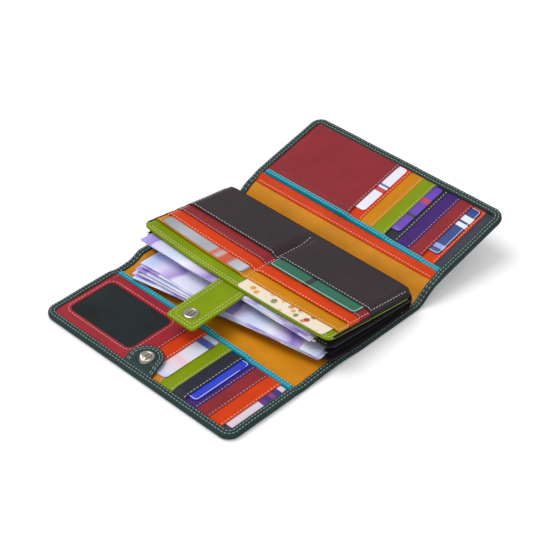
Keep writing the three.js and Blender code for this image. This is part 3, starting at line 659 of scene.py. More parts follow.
def make_materials(grain):
    """Every material of the purse, by the key that the pieces use."""
    for key, code in LEATHERS.items():
        materials[key] = leather("dyed_calf_" + key, code, grain, ROUGHNESS.get(key, 0.4))
    for key, code in THREADS.items():
        materials["thread_" + key] = thread("sewing_thread_" + key, code)
    for key, (direction, crisp, stops) in CARDS.items():
        materials[key] = printed("laminated_" + key, stops, direction, gloss=0.32, twist=0.05, crisp=crisp)
    materials["leaf_card_patterned"] = dotted("laminated_leaf_card_patterned", "#eadfc9", CARD_SPOTS)
    materials["border"] = printed("card_border_white", [(0.0, "#e8efe9"), (1.0, "#e8efe9")])
    materials["notes"] = printed("cotton_note_paper", NOTE_BANDS, gloss=0.7, twist=NOTE_TWIST)
    materials["navy"] = woven("woven_navy_lining", "#2b3048")
    materials["film"] = film("vinyl_window")
    materials["nickel"] = nickel("polished_nickel")


# Levels of the side panels' pockets
STRIP_THICK = 0.5
BED_TOP = 1.5


def strip_levels(under):
    """Tops of panel 0 and strips 1 to 7, stacked from the last one up, with room for the cards."""
    first_gap, settling = 0.1, -0.3
    levels, top = {}, BED_TOP
    for k in range(STRIPS, -1, -1):
        top += CARD_SPACE if k in under else (first_gap if k == STRIPS else settling)
        top += STRIP_THICK
        levels[k] = top
    return levels


# Under which strip each card lies, with its name and the place of its right end
SIDE_CARDS = {
    "left": {1: ("left_card_white", 22.9), 4: ("left_card_blue", 54.4), 7: ("left_card_pink", 91.5)},
    "right": {0: ("right_card_white", 6.5), 3: ("right_card_purple", 42.6), 6: ("right_card_blue", 81.0)},
}
LEVELS = {side: strip_levels(cards) for side, cards in SIDE_CARDS.items()}
# Place, extent of the pockets, low edge of the cards, low edge of the binding tape and body of each side
SIDES = {
    "left": {"to": on_left, "y": (0.0, 60.0), "cards": 5.0, "binding": 60.0, "body": "left_flap"},
    "right": {"to": on_right, "y": (13.0, 77.5), "cards": 22.0, "binding": 8.5, "body": "right_flap"},
}
# Width over which the rim presses the pockets flat
PRESSED = 5.5


def bulge(side, x, y):
    """Pockets are pressed flat where the rim and the binding hold them."""
    low, high = SIDES[side]["y"]
    outer, inner = ((y - low) / PRESSED, high - y) if side == "left" else ((high - y) / 2.4, y - low)
    return smooth(min((HALF_INNER - abs(x)) / PRESSED, outer)) * (0.75 + 0.25 * smooth(inner / 6))


def level(side, k, x, y):
    """Top of strip k at a point: pressed at the edges, at its full level inside."""
    pressed = 2.7 + 0.2 * (STRIPS - k)
    return mix(pressed, LEVELS[side][k], bulge(side, x, y))


def row_level(side, x):
    """Height of whichever strip lies on top at x, eased from one strip to the next."""
    t = min(max((x - MOUTH) / PITCH, 0.0), STRIPS - 1e-6)
    k = int(t)
    return mix(LEVELS[side][k], LEVELS[side][k + 1], smooth(2 * (t - k)))


def binding_height(side, x):
    """Top of the teal tape, which lies over the strips and dives under the rim at both ends."""
    end, stand = 3.3, 0.8
    return mix(end, row_level(side, x) + stand, smooth((HALF_INNER + 0.5 - abs(x)) / 5))


def facing_height(x, y):
    """Top of the facing: it rises from the spine to the binding, more so at the left end."""
    spine, left, right, rim_dip = 3.1, 5.4, 2.7, 0.5
    full = mix(left, right, (x + HALF_INNER) / (2 * HALF_INNER))
    return mix(spine, full, smooth((y - 1) / 7)) - rim_dip * smooth((abs(x) - 86) / 6)


# Cover
# Section of the rolled rim from its inside base round the outer edge: distance in, share of the height
RIM_PROFILE = ((6.5, 0.1), (1.2, 0.1), (0.4, 0.14), (0, 0.29), (0, 0.65), (0.45, 0.865), (1.3, 0.97),
               (2.0, 0.965), (2.4, 0.95), (3.3, 1.0), (4.3, 0.97), (4.7, 0.95), (5.5, 0.95), (6.2, 0.87),
               (6.6, 0.75), (6.5, 0.6))
RIM_ROWS = (2.1, 4.7)
ROW_DEPTH = 0.95


def rim_height(part):
    """Height of the rim along one part: thick round the side panels, thin along the centre and the spines."""
    def height(x, y):
        rise = {"left": 1 - smooth((y - 58) / 8), "right": smooth(y / 10)}.get(part, 0)
        wobble = 0.12 * math.sin(x * 0.11 + y * 0.17) + 0.07 * math.sin(x * 0.31 - y * 0.23)
        return mix(LOW_RIM, RIM_HEIGHT + wobble, rise)
    return height


def rim_lines(part, inset):
    """Lines along the rim of one part of the cover, with the inside on their left."""
    x = HALF_COVER - inset
    if part == "left":
        return [u_path(inset, LEFT_END, -RIM)]
    if part == "right":
        return [u_path(inset, 0.0, RIGHT_LENGTH)[::-1]]
    low, high = COVER_PARTS[part]["y"]
    count = int((high - low) / SPINE_GRID[1])
    side = [(x, mix(low, high, i / count)) for i in range(count + 1)]
    return [side, [(-px, py) for px, py in reversed(side)]]


# Place, moving body or blend, replaced nodes, square-cut ends, and the sheet or the extent in y
COVER_PARTS = {
    "left": {"to": on_left, "body": "left_flap", "nodes": ("left_cover",), "joins": (LEFT_END,),
             "sheet": (-5.5, LEFT_END, (9, 9, 0, 0))},
    "left_spine": {"to": on_centre, "blend": "left", "nodes": ("left_spine_cover",),
                   "joins": (LEFT_END, CENTRE[0]), "y": (LEFT_END, CENTRE[0])},
    "centre": {"to": on_centre, "body": "centre", "nodes": ("centre_cover",), "joins": CENTRE, "y": CENTRE},
    "right_spine": {"to": on_right_spine, "blend": "right", "nodes": ("right_spine_cover",),
                    "joins": (CENTRE[1], RIGHT_START), "y": (CENTRE[1], RIGHT_START)},
    "right": {"to": on_right, "body": "right_flap", "nodes": ("right_cover",), "joins": (0.0,),
              "sheet": (0.0, RIGHT_LENGTH - 1, (0, 0, 9, 9))},
}


def build_cover():
    """Outer leather with its rolled, double-stitched rim, in the five parts that fold on each other."""
    edge = HALF_COVER - 1
    for part, facts in COVER_PARTS.items():
        y0, y1, radii = facts.get("sheet") or (*facts["y"], SQUARE)
        outline = rounded(-edge, edge, y0, y1, radii)
        grid = SPINE_GRID if "blend" in facts else GRID
        bm = bent(slab(outline, 0.0, COVER_THICK, SHEET_ROLL, grid, joins=facts["joins"]), facts["to"])
        height = rim_height(part)
        for line in rim_lines(part, 0):
            sweep(bm, line, RIM_PROFILE, height, facts["to"])
        for row in RIM_ROWS:
            for line in rim_lines(part, row):
                sew(facts.get("body"), "green", line, lambda x, y: ROW_DEPTH * height(x, y), facts["to"],
                    facts.get("blend"))
        piece("cover_" + part, bm, materials["cover"], facts.get("body"), facts.get("blend"), facts["nodes"])


def build_linings():
    """Ochre lining over the centre and both spines."""
    edge = HALF_INNER + 0.5
    for part, (y0, y1), node_name in (
            ("left_spine", (64.2, CENTRE[0]), "left_spine_lining"), ("centre", CENTRE, "centre_lining"),
            ("right_spine", (CENTRE[1], RIGHT_START), "right_spine_lining")):
        facts = COVER_PARTS[part]
        outline = rounded(-edge, edge, y0, y1, SQUARE)
        grid = SPINE_GRID if "blend" in facts else GRID
        bm = bent(slab(outline, COVER_THICK, COVER_THICK + LINING_THICK, SHEET_ROLL, grid, joins=(y0, y1)),
                  facts["to"])
        piece("lining_" + part, bm, materials["lining"], facts.get("body"), facts.get("blend"), (node_name,))


# Side panels
STRIP_COLOURS = ("orange", "ochre", "lime", "charcoal", "purple", "burgundy", "orange")
STRIP_THREADS = {"orange": "cream", "ochre": "cream", "lime": "cream", "charcoal": "white", "purple": "sand",
                 "burgundy": "pink", "red": "pink"}
STRIP_ROW = 1.5
WINDOW = (-84.5, -17.5, 7.5, 50.5)
WINDOW_CORNER = 5
INNER_CORNER = 3.6
# How far the strips reach under the rim and the tape
UNDER_EDGE = 0.8
# Radius of a card's corners, its depth under a strip's top, and the width and inset of its border line
CARD_CORNER = 3.2
CARD_DEPTH = 0.6
CARD_LINE = 0.4
CARD_LINE_INSET = {"left_card_blue": 0.9, "right_card_blue": 0.9, "leaf_card_green": 1.0}
# Section of the teal tape: distance from its low edge, share of the height
TAPE_PROFILE = ((4.6, 0.15), (-0.1, 0.15), (-0.25, 0.5), (-0.05, 0.82), (0.5, 0.96), (1.4, 1.0), (2.3, 0.97),
                (3.2, 1.0), (4.1, 0.96), (4.65, 0.82), (4.85, 0.5))
TAPE_ROWS = (1.3, 3.3)
ROW_END = 90.5


def mouth(k):
    """Place of the open edge of strip k, with the top panel as strip 0."""
    return MOUTH + PITCH * k


def printed_uv(bm, x0, y0, width, depth, offset=0.0):
    """Gives a flat sheet the map that its print follows: 0 to 1 over its width and its depth."""
    layer = bm.loops.layers.uv.new("print")
    for face in bm.faces:
        for loop in face.loops:
            loop[layer].uv = ((loop.vert.co.x - x0) / width + offset, (loop.vert.co.y - y0) / depth)
    return bm


def card(name, x0, y0, shape, body):
    """Bank-card-sized laminated card, with a paler border line where one is listed."""
    length, width, thick = CARD
    bm = slab(rounded(x0, x0 + length, y0, y0 + width, (CARD_CORNER,) * 4), 0.0, thick, 0.15, 5.0)
    printed_uv(bm, x0, y0, length, width)
    piece(name + "_look", bent(bm, shape), materials[name], body, None, (name,))
    if name in CARD_LINE_INSET:
        outer, inner = [rounded(x0 + inset, x0 + length - inset, y0 + inset, y0 + width - inset,
                                (CARD_CORNER - inset,) * 4)
                        for inset in (CARD_LINE_INSET[name], CARD_LINE_INSET[name] + CARD_LINE)]
        line = slab(outer, thick - 0.1, thick + 0.03, 0.01, 12.0, hole=inner)
        printed_uv(line, x0, y0, length, width)
        piece(name + "_border", bent(line, shape), materials["border"], body)


def build_side(side):
    """Pocket bed, seven strips, top panel, cards, binding and stitching of one side panel."""
    facts = SIDES[side]
    to, body, (y0, y1) = facts["to"], facts["body"], facts["y"]
    near, far = y0 - UNDER_EDGE, y1 + UNDER_EDGE
    edge = HALF_INNER + 0.6
    corners = (INNER_CORNER, INNER_CORNER, 0, 0) if side == "left" else (0, 0, INNER_CORNER, INNER_CORNER)

    def over(k, base):
        return lambda x, y, h: to(x, y, level(side, k, x, y) + base + h)

    bed_base = 1.1
    bed = slab(rounded(-edge, edge, near, far, corners), bed_base, BED_TOP, 0.1, GRID)
    bed = bent(bed, lambda x, y, h: to(x, y, h + bed_base * (1 - bulge(side, x, y))))
    piece(side + "_bed", bed, materials["navy"], body, None, (side + "_pocket_bed",))
    for k, colour in enumerate(STRIP_COLOURS, 1):
        outline = rounded(mouth(k - 1) - 2, mouth(k), near, far, SQUARE)
        strip = slab(outline, -STRIP_THICK, 0.0, 0.2, FINE_GRID)
        piece(f"{side}_strip_{k}_look", bent(strip, over(k, 0)), materials[colour], body, None,
              (f"{side}_strip_{k}",))
    dye, panel = {"left": ("red", "left_window_panel"), "right": ("burgundy", "right_panel")}[side]
    corners = (INNER_CORNER, 0, 0, 0) if side == "left" else (0, 0, 0, INNER_CORNER)
    hole = rounded(*WINDOW, (WINDOW_CORNER,) * 4) if side == "left" else None
    top = slab(rounded(-edge, mouth(0), near, far, corners), -STRIP_THICK, 0.0, 0.2, FINE_GRID, hole=hole)
    piece(panel + "_look", bent(top, over(0, 0)), materials[dye], body, None, (panel,))
    for k, colour in enumerate((dye,) + STRIP_COLOURS):
        x = mouth(k) - STRIP_ROW
        sew(body, STRIP_THREADS[colour], [(x, y0 + 1.5), (x, y1 - 1)],
            lambda px, py: level(side, k, px, py), to)
    for k, (name, x1) in SIDE_CARDS[side].items():
        card(name, x1 - CARD[0], facts["cards"], over(k, -CARD_DEPTH - CARD[2]), body)
    count = 90
    line = [(mix(-edge, edge, i / count), facts["binding"]) for i in range(count + 1)]
    binding = sweep(bmesh.new(), line, TAPE_PROFILE, lambda x, y: binding_height(side, x), to)
    piece(side + "_binding_look", binding, materials["teal"], body, None, (side + "_binding",))
    for row in TAPE_ROWS:
        y = facts["binding"] + row
        sew(body, "blue", [(-ROW_END, y), (ROW_END, y)], lambda px, py: binding_height(side, px), to)


def build_window():
    """Clear film behind the window in the red panel, and the stitching round it."""
    def around(margin, radius):
        x0, x1, y0, y1 = WINDOW
        return rounded(x0 - margin, x1 + margin, y0 - margin, y1 + margin, (radius,) * 4)

    def height(x, y):
        return level("left", 0, x, y)

    hidden_margin, row_margin = 1.5, 2.2
    film_low, film_high = -0.65, -0.4
    bm = slab(around(hidden_margin, WINDOW_CORNER), film_low, film_high, 0.05, GRID)
    bm = bent(bm, lambda x, y, h: on_left(x, y, height(x, y) + h))
    piece("window_film_look", bm, materials["film"], "left_flap", None, ("left_window_film",))
    row = around(row_margin, WINDOW_CORNER + row_margin)
    sew("left_flap", "pink", row + row[:1], height, on_left)


def build_facing():
    """Orange facing between the right spine and the binding."""
    edge, thick, row = HALF_INNER + 0.5, 1.2, 1.6
    y0, y1 = -0.4, 9.2
    bm = slab(rounded(-edge, edge, y0, y1, SQUARE), -thick, 0.0, 0.5, FINE_GRID)
    bm = bent(bm, lambda x, y, h: on_right(x, y, facing_height(x, y) + h))
    piece("facing_look", bm, materials["orange"], "right_flap", None, ("right_facing",))
    sew("right_flap", "cream", [(-ROW_END, row), (ROW_END, row)], facing_height, on_right)


# Snaps, studs, tab and strap
# Section of a snap from its axis under the leather, round its ring, and back over its hollow: radius, height
SNAP = ((0, -0.7), (4.9, -0.7), (5.7, -0.15), (5.9, 0.3), (5.65, 0.8), (4.9, 1.15), (4.1, 1.12), (3.6, 0.85),
        (3.25, 0.35), (2.4, 0.2), (0, 0.2))


def snap(name, centre, shape, body, replaced):
    """Ring-shaped fastener head with its two spring wires in the hollow."""
    bm = turned(SNAP, 40, centre, shape)
    wire_half, wire_x, wire_z, wire_radius, sides = 3.1, 1.25, 0.5, 0.24, 8
    for side in (-1, 1):
        rings = []
        for y in (-wire_half, 0.0, wire_half):
            ring = []
            for i in range(sides):
                a = 2 * math.pi / sides * i
                point = (side * wire_x + wire_radius * math.cos(a), y, wire_z + wire_radius * math.sin(a))
                ring.append(bm.verts.new(place(*shape(*(p + c for p, c in zip(point, centre))))))
            rings.append(ring)
        loft(bm, rings)
    piece(name, bm, materials["nickel"], body, None, (replaced,), sharp=35)


# Section of a stud that points down: radius, share of its height below the leather
STUD = ((0, -1), (1.8, -1), (2.35, -0.9), (2.5, -0.75), (2.0, -0.45), (2.6, -0.36), (3.4, -0.28),
        (3.6, -0.15), (3.6, 0), (0, 0))


def stud(name, height, centre, shape, body, replaced):
    """Ball stud that a snap closes on, pointing out of the back of its leather."""
    bm = turned([(r, share * height) for r, share in STUD], 32, centre, shape)
    piece(name, bm, materials["nickel"], body, None, (replaced,), sharp=35)


def tab_outline(inset=0.0):
    """Half-round tab: straight at the rim, curved towards the pockets."""
    half, length = TAB_HALF - inset, TAB_LENGTH - inset
    shoulder, tip, steps = 0.8, 0.85, 24
    points = []
    for i in range(steps + 1):
        a = math.pi * i / steps
        across = half * abs(math.cos(a)) ** shoulder
        points.append((math.copysign(across, math.cos(a)), max(length * math.sin(a) ** tip, 0.0)))
    return points


def on_tab(x, y, h):
    """Tab's top surface: from under the rim's lip up onto the pockets, bowed a little across."""
    at_rim, on_pockets, bow = 5.0, 9.58, 0.25
    return x, y, mix(at_rim, on_pockets, smooth((y + 1) / 9)) - bow * (x / TAB_HALF) ** 2 + h


def build_tab():
    """Cover-leather tab on the left panel with its snap, and the two studs."""
    thick, hidden, row_start = 1.3, -1.2, 0.5
    outline = [(TAB_HALF, hidden)] + tab_outline() + [(-TAB_HALF, hidden)]
    bm = bent(slab(outline, -thick, 0.0, 0.45, 1.5), on_tab)
    piece("snap_tab_look", bm, materials["cover"], "left_flap", None, ("left_snap_tab",))
    for inset in (1.7, 3.6):
        x = TAB_HALF - inset
        sew("left_flap", "green", [(x, row_start)] + tab_outline(inset)[1:-1] + [(-x, row_start)],
            lambda x, y: 0.0, on_tab)
    snap("snap_look", (0, 8.8, 0), on_tab, "left_flap", "left_snap")
    stud("right_stud_look", 2.0, (0, 45.8, -0.1), on_right, "right_flap", "right_stud")
    stud("strap_stud_look", 1.7, (0, 107.0, -0.1), on_back_leaf, "centre", "strap_stud")


def build_strap():
    """Lime strap with two rows of stitches along its free edges, cut across the corners, and its snap."""
    thick, root, row_start, cut = 2.0, 2.5, 1.0, 2.2
    outline = rounded(-STRAP_HALF, STRAP_HALF, -STRAP_LENGTH, root, (3, 3, 0, 0), steps=3)
    bm = bent(slab(outline, -thick, 0.0, 0.6, FINE_GRID), on_strap)
    piece("strap_look", bm, materials["lime"], "strap", None, ("strap",))
    for inset in (1.7, 4.4):
        x, y = STRAP_HALF - inset, -STRAP_LENGTH + inset
        row = [(-x, row_start), (-x, y + cut), (-x + cut, y), (x - cut, y), (x, y + cut), (x, row_start)]
        sew("strap", "lime", row, lambda px, py: 0.0, on_strap)
    snap("strap_snap_look", (0, -41.0, 0), on_strap, "strap", "strap_snap")


# Organizer
# Leather, replaced node and thread of the row along the mouth, from the base up
LEAF_PANELS = (("lime", "leaf_lime", None), ("ochre", "leaf_ochre", "cream"),
               ("orange", "leaf_orange", "cream"), ("burgundy", "leaf_burgundy", "sand"),
               ("plum", "leaf_plum", "white"))
# Panel that each card lies on, its name, and its low left corner
LEAF_CARDS = ((0, "leaf_card_patterned", 3.5, -83.6), (1, "leaf_card_grey", -89.7, -71.0),
              (3, "leaf_card_green", 3.0, -49.5))


def leaf_height(k, x, y):
    """Pockets lie flat along the side seams and along the middle seam, which fades out towards the fold."""
    seam_width, fade_start, fade_end = 6, -12, 4
    middle = max(smooth(abs(x) / seam_width), smooth((y - fade_start) / (fade_end - fade_start)))
    pressed = LEAF_LEVELS[0] + 0.5 * k
    return mix(pressed, LEAF_LEVELS[k], smooth((LEAF_HALF - abs(x)) / seam_width) * middle)


def leaf_top(x, y):
    """Height of whichever panel lies on top at a point of the leaf."""
    return leaf_height(sum(y > -m for m in LEAF_MOUTHS), x, y)


# Section of the black turned edge, as the rim's
LEAF_EDGE = ((1.7, 0.1), (0.5, 0.0), (0.05, 0.25), (0.0, 0.7), (0.3, 0.95), (0.9, 1.0), (1.5, 0.97),
             (1.8, 0.8))


def leaf_edge_height(y):
    """Turned edge that steps up with the pocket panels it holds."""
    base, panel_step = 1.9, 0.5
    return base + panel_step * sum(smooth((y + m + 1) / 2) for m in LEAF_MOUTHS)


def on_leaf_at(k):
    """Place on panel k of the leaf, with heights measured from that panel's top."""
    return lambda x, y, h: on_leaf(x, y, leaf_height(k, x, y) + h)


def build_leaf():
    """Top leaf of the organizer: lime base, four stepped pocket panels, three cards and their stitching."""
    back, mouth_row, mouth_end = 6.0, 1.3, 93
    for k, (colour, replaced, row) in enumerate(LEAF_PANELS):
        front = LEAF_MOUTHS[k - 1] if k else LEAF_LENGTH
        base, pocket = ((6, 6, 5, 5), LEAF_LEVELS[0], LEAF_ROLL), ((0.6, 0.6, 5, 5), 0.6, 0.25)
        corners, thick, roll = pocket if k else base
        bm = bent(slab(rounded(-LEAF_HALF, LEAF_HALF, -front, back, corners), -thick, 0.0, roll, GRID),
                  on_leaf_at(k))
        piece(replaced + "_look", bm, materials[colour], "leaf", None, (replaced,))
        if row:
            y = -front + mouth_row
            sew("leaf", row, [(-mouth_end, y), (mouth_end, y)], lambda px, py: leaf_height(k, px, py),
                on_leaf)
    play = 0.1
    for k, name, x0, y0 in LEAF_CARDS:
        card(name, x0, y0, lambda x, y, h: on_leaf(x, y, leaf_height(k, x, y) + play + h), "leaf")

    edge, front, inner_end, inner_row = 94.4, -82.9, 91.5, -80.6
    cut, meeting = -71.5, -74
    outer = [p for p in rounded(-edge, edge, front, 30, (4.5, 4.5, 0, 0)) if p[1] < cut]
    outer = [(-edge, meeting)] + outer + [(edge, meeting)]
    inner = [(-inner_end, inner_row), (inner_end, inner_row)]
    for row in (outer, inner):
        sew("leaf", "lime", row, lambda x, y: LEAF_LEVELS[0], on_leaf)
    seam_start, cream_end, white_start = -71, -38.5, -37.5
    for x, seam_end in ((-93.6, 3.0), (93.6, 3.0), (0, 1.0)):
        sew("leaf", "cream", [(x, seam_start), (x, cream_end)], leaf_top, on_leaf)
        sew("leaf", "white", [(x, white_start), (x, seam_end)], leaf_top, on_leaf)

    x, start, end, steps = LEAF_HALF + 0.1, -79, 3.5, 40
    edging = bmesh.new()
    for side in (-1, 1):
        line = [(side * x, mix(start, end, i / steps)) for i in range(steps + 1)][::side]
        sweep(edging, line, LEAF_EDGE, lambda px, py: leaf_edge_height(py), on_leaf)
    piece("leaf_edging", edging, materials["black"], "leaf")


def edged(body, colour, front, back, shape):
    """Stitching along the three free edges of a leaf."""
    x = LEAF_HALF - 2
    line = [p for p in rounded(-x, x, front + 2, back + 20, (4, 4, 0, 0)) if p[1] < back]
    sew(body, colour, [(-x, back - 2)] + line + [(x, back - 2)], lambda px, py: LEAF_THICK, shape)


# Section of the fold at the back of the organizer, in plan y and height: up its outside and down its inside
FOLD_OUTER = [(184.2, 3.5), (186.6, 4.0), (188.6, 7.2), (189.4, 12.0), (188.9, 17.0), (187.2, 21.0),
              (184.8, 23.2)]
FOLD_INNER = [(183.8, 22.1), (186.1, 20.1), (187.7, 16.6), (188.1, 12.0), (187.4, 7.9), (185.7, 5.2),
              (184.0, 4.7)]


def build_divider():
    """Leaf in the middle of the organizer and the leaf under the notes, joined at the back by the fold."""
    def leaf_sheet(front, back):
        outline = rounded(-LEAF_HALF, LEAF_HALF, front, back, (6, 6, 0, 0))
        return slab(outline, 0.0, LEAF_THICK, LEAF_ROLL, 4.0)

    bm = bent(leaf_sheet(-DIVIDER_LENGTH, 6.0), on_divider)
    piece("divider_look", bm, materials["plum"], "divider", None, ("divider_leaf",))
    edged("divider", "sand", -DIVIDER_LENGTH, -4.0, on_divider)
    bm = bent(leaf_sheet(*BACK_LEAF), on_back_leaf)
    piece("back_leaf_look", bm, materials["plum"], "centre", None, ("organizer_back",))
    edged("centre", "sand", BACK_LEAF[0], BACK_LEAF[1] - 4.0, on_back_leaf)

    bm = bmesh.new()
    rings = []
    steps, end_inset, base = 48, 1.5, FOLD_OUTER[0][1]
    end_pull, end_droop = 2.2, 0.18
    for i in range(steps + 1):
        x = mix(-LEAF_HALF + end_inset, LEAF_HALF - end_inset, i / steps)
        droop = end_droop * (1 - smooth((LEAF_HALF - abs(x)) / 7))
        pull = end_pull * smooth((abs(x) - 90) / 7)
        rings.append([bm.verts.new(place(x, y - pull, mix(z, base, droop)))
                      for y, z in FOLD_OUTER + FOLD_INNER])
    loft(bm, rings)
    piece("fold_look", bm, materials["plum"], None, "fold", ("organizer_fold",), sharp=60)


def leaf_z(y, tilt, z0, sag):
    """Height of a tilted leaf's underside over a place of the plan."""
    u = (LEAF_FOLD - y) / LEAF_LENGTH
    return z0 + (LEAF_FOLD - y) * math.tan(tilt) + sag * smooth(u) * max(u, 0)


def gusset(name, side, folds, floor, ceiling, body):
    """Accordion side of the organizer: thin black leather whose folds grow with the gap it closes."""
    x0 = side * (LEAF_HALF - 0.7)
    front, back, steps, fold_steps = 97.5, 176.5, 40, 12 * folds
    play, thick, deepest, front_bow = 0.1, 0.8, 5.0, 1.2
    bm = bmesh.new()
    rings = []
    for j in range(steps + 1):
        y = mix(front, back, j / steps)
        low, high = floor(y) + play, ceiling(y) - play
        depth = deepest * (high - low) / (ceiling(front) - floor(front))
        outer = []
        for i in range(fold_steps + 1):
            t = i / fold_steps
            wave = 0.5 - 0.5 * math.cos(2 * math.pi * folds * t)
            outer.append((x0 - side * depth * wave ** 0.8, y - front_bow * wave * (1 - j / steps),
                          mix(low, high, t)))
        inner = [(px - side * thick, py, pz) for px, py, pz in reversed(outer)]
        rings.append([bm.verts.new(place(*p)) for p in outer + inner])
    loft(bm, rings)
    piece(name + "_look", bm, materials["black"], body, None, (name,), sharp=75)


def build_gussets():
    """At each side, two folds from the back leaf to the divider and one from there to the top leaf."""
    for word, side in (("left", -1), ("right", 1)):
        x = side * 95

        def back_leaf_top(y):
            return on_back_leaf(x, y, LEAF_THICK)[2]

        def divider_bottom(y):
            return leaf_z(y, DIVIDER_TILT, DIVIDER_Z, divider_sag(x))

        def divider_top(y):
            return leaf_z(y, DIVIDER_TILT, DIVIDER_Z + LEAF_THICK, divider_sag(x))

        def leaf_bottom(y):
            return leaf_z(y, LEAF_TILT, LEAF_Z, leaf_sag(x))

        gusset("lower_gusset_" + word, side, 2, back_leaf_top, divider_bottom, "centre")
        gusset("upper_gusset_" + word, side, 1, divider_top, leaf_bottom, "divider")


# Notes
NOTE = (165.0, 78.0)
NOTE_THICK = 0.3
NOTE_GAP = 0.42


def note_stack(name, count, fan, drift, lift, turn, tilt, origin, body, phase):
    """Stack of paper notes, each turned, moved and waved a little differently from the one below."""
    length, depth = NOTE
    print_shift = 0.173
    stack = bmesh.new()
    layer = stack.loops.layers.uv.new("print")
    for i in range(count):
        bm = slab(rounded(-length / 2, length / 2, 0, depth, (0.5,) * 4, steps=1), 0.0, NOTE_THICK, 0.05, 5.0)
        source = printed_uv(bm, -length / 2, 0, length, depth, print_shift * i).loops.layers.uv["print"]
        angle = math.radians(turn + fan * (i - (count - 1) / 2) + 0.5 * math.sin(2.4 * i + phase))
        dx = drift[0] * i + 1.8 * math.sin(1.9 * i + phase)
        dy = drift[1] * i + 1.5 * math.sin(2.7 * i + 2 * phase)
        moved = {}
        for v in bm.verts:
            x, y, z = v.co
            wave = 0.35 * math.sin(0.045 * x + 0.05 * y + phase) + 0.12 * math.sin(0.11 * x + 0.9 * i)
            z += i * NOTE_GAP + lift(i, x, y) + wave * smooth(1 - y / 60)
            px = x * math.cos(angle) - y * math.sin(angle) + dx
            py = x * math.sin(angle) + y * math.cos(angle) + dy
            c, s = math.cos(tilt), math.sin(tilt)
            moved[v] = stack.verts.new(place(origin[0] + px, origin[1] + py * c + z * s,
                                             origin[2] - py * s + z * c))
        for face in bm.faces:
            copy = stack.faces.new([moved[v] for v in face.verts])
            for old, new in zip(face.loops, copy.loops):
                new[layer].uv = old[source].uv
        bm.free()
    piece(name + "_look", stack, materials["notes"], body, None, (name,), sharp=60)


def build_notes():
    """Stack on the back leaf and stack on the divider: both spread apart at their front left corner."""
    def lower_lift(i, x, y):
        left = 0.62 * smooth((-x - 12) / 66)
        right = 0.1 * smooth((x - 40) / 40)
        return i * (left + right) * (1 - y / NOTE[1])

    def upper_lift(i, x, y):
        return i * 0.8 * smooth((-x - 25) / 58) * (1 - y / NOTE[1])

    note_stack("notes_lower", count=10, fan=-0.55, drift=(0.35, 0.3), lift=lower_lift, turn=9.1,
               tilt=math.radians(2.65), origin=(6.0, 77.0, 9.1), body="centre", phase=0.4)
    note_stack("notes_upper", count=7, fan=0.8, drift=(-0.5, -0.4), lift=upper_lift, turn=3.0,
               tilt=DIVIDER_TILT, origin=(-1.5, 92.0, 20.4), body="divider", phase=1.3)


def build_threads():
    """One piece for all the stitches of one colour that move together."""
    for (body, colour, blend), bm in threads.items():
        name = f"stitches_{body or blend + '_spine'}_{colour}"
        piece(name, bm, materials["thread_" + colour], body, blend, sharp=80)
    threads.clear()


# Stage
# Point of the plan that the camera looks at, and the camera's own place, as the photograph shows them
AIM = (0.86, 138.83, 10.0)
VIEWPOINT = (675.1, -556.3, 782.5)
KEY_FROM = Vector((-0.50, -0.18, 1.1))
FLOOR_HALF = 4.0
FLOOR_GAP = 0.0002


def build_stage():
    """Pale floor, soft surroundings, a broad key light over the left panel, and the camera."""
    settings = bpy.context.scene.purse
    world = bpy.data.worlds.new("studio")
    world.use_nodes = True
    tree = world.node_tree
    tree.nodes.clear()
    rays = node(tree, "ShaderNodeLightPath")
    sky = node(tree, "ShaderNodeBackground", Color=(1.0, 1.0, 1.0, 1.0), Strength=settings.fill)
    white = node(tree, "ShaderNodeBackground", Color=(1.0, 1.0, 1.0, 1.0), Strength=1.0)
    both = node(tree, "ShaderNodeMixShader", [(0, rays, "Is Camera Ray"), (1, sky, 0), (2, white, 0)])
    node(tree, "ShaderNodeOutputWorld", [("Surface", both, 0)])
    bpy.context.scene.world = world

    material = bpy.data.materials.new("studio_floor")
    material.use_nodes = True
    tree = material.node_tree
    tree.nodes.clear()
    rays = node(tree, "ShaderNodeLightPath")
    matte = node(tree, "ShaderNodeBsdfDiffuse", Color=linear("#f1f1f2"))
    glow = node(tree, "ShaderNodeEmission", Color=(1.0, 1.0, 1.0, 1.0), Strength=settings.floor_lift)
    lit = node(tree, "ShaderNodeAddShader", [(0, matte, 0), (1, glow, 0)])
    seen = node(tree, "ShaderNodeMixShader", [(0, rays, "Is Camera Ray"), (1, matte, 0), (2, lit, 0)])
    node(tree, "ShaderNodeOutputMaterial", [("Surface", seen, 0)])
    bm = bmesh.new()
    bmesh.ops.create_grid(bm, x_segments=1, y_segments=1, size=FLOOR_HALF)
    mesh = bpy.data.meshes.new("floor")
    bm.to_mesh(mesh)
    bm.free()
    mesh.materials.append(material)
    floor = bpy.data.objects.new("floor", mesh)
    floor.location = (0, 0, -FLOOR_GAP)
    bpy.context.scene.collection.objects.link(floor)

    goal = place(*AIM)
    light = bpy.data.lights.new("key", "SUN")
    light.energy = settings.key_strength
    light.angle = settings.key_spread
    key = bpy.data.objects.new("key", light)
    key.location = goal + KEY_FROM
    key.rotation_euler = (goal - key.location).to_track_quat("-Z", "Y").to_euler()
    bpy.context.scene.collection.objects.link(key)

    lens = bpy.data.cameras.new("camera")
    lens.lens = settings.focal_length
    lens.sensor_width = 36.0
    camera = bpy.data.objects.new("camera", lens)
    camera.location = place(*VIEWPOINT)
    camera.rotation_euler = (goal - camera.location).to_track_quat("-Z", "Y").to_euler()
    bpy.context.scene.collection.objects.link(camera)
    bpy.context.scene.camera = camera
    bpy.context.scene.view_settings.view_transform = "Standard"


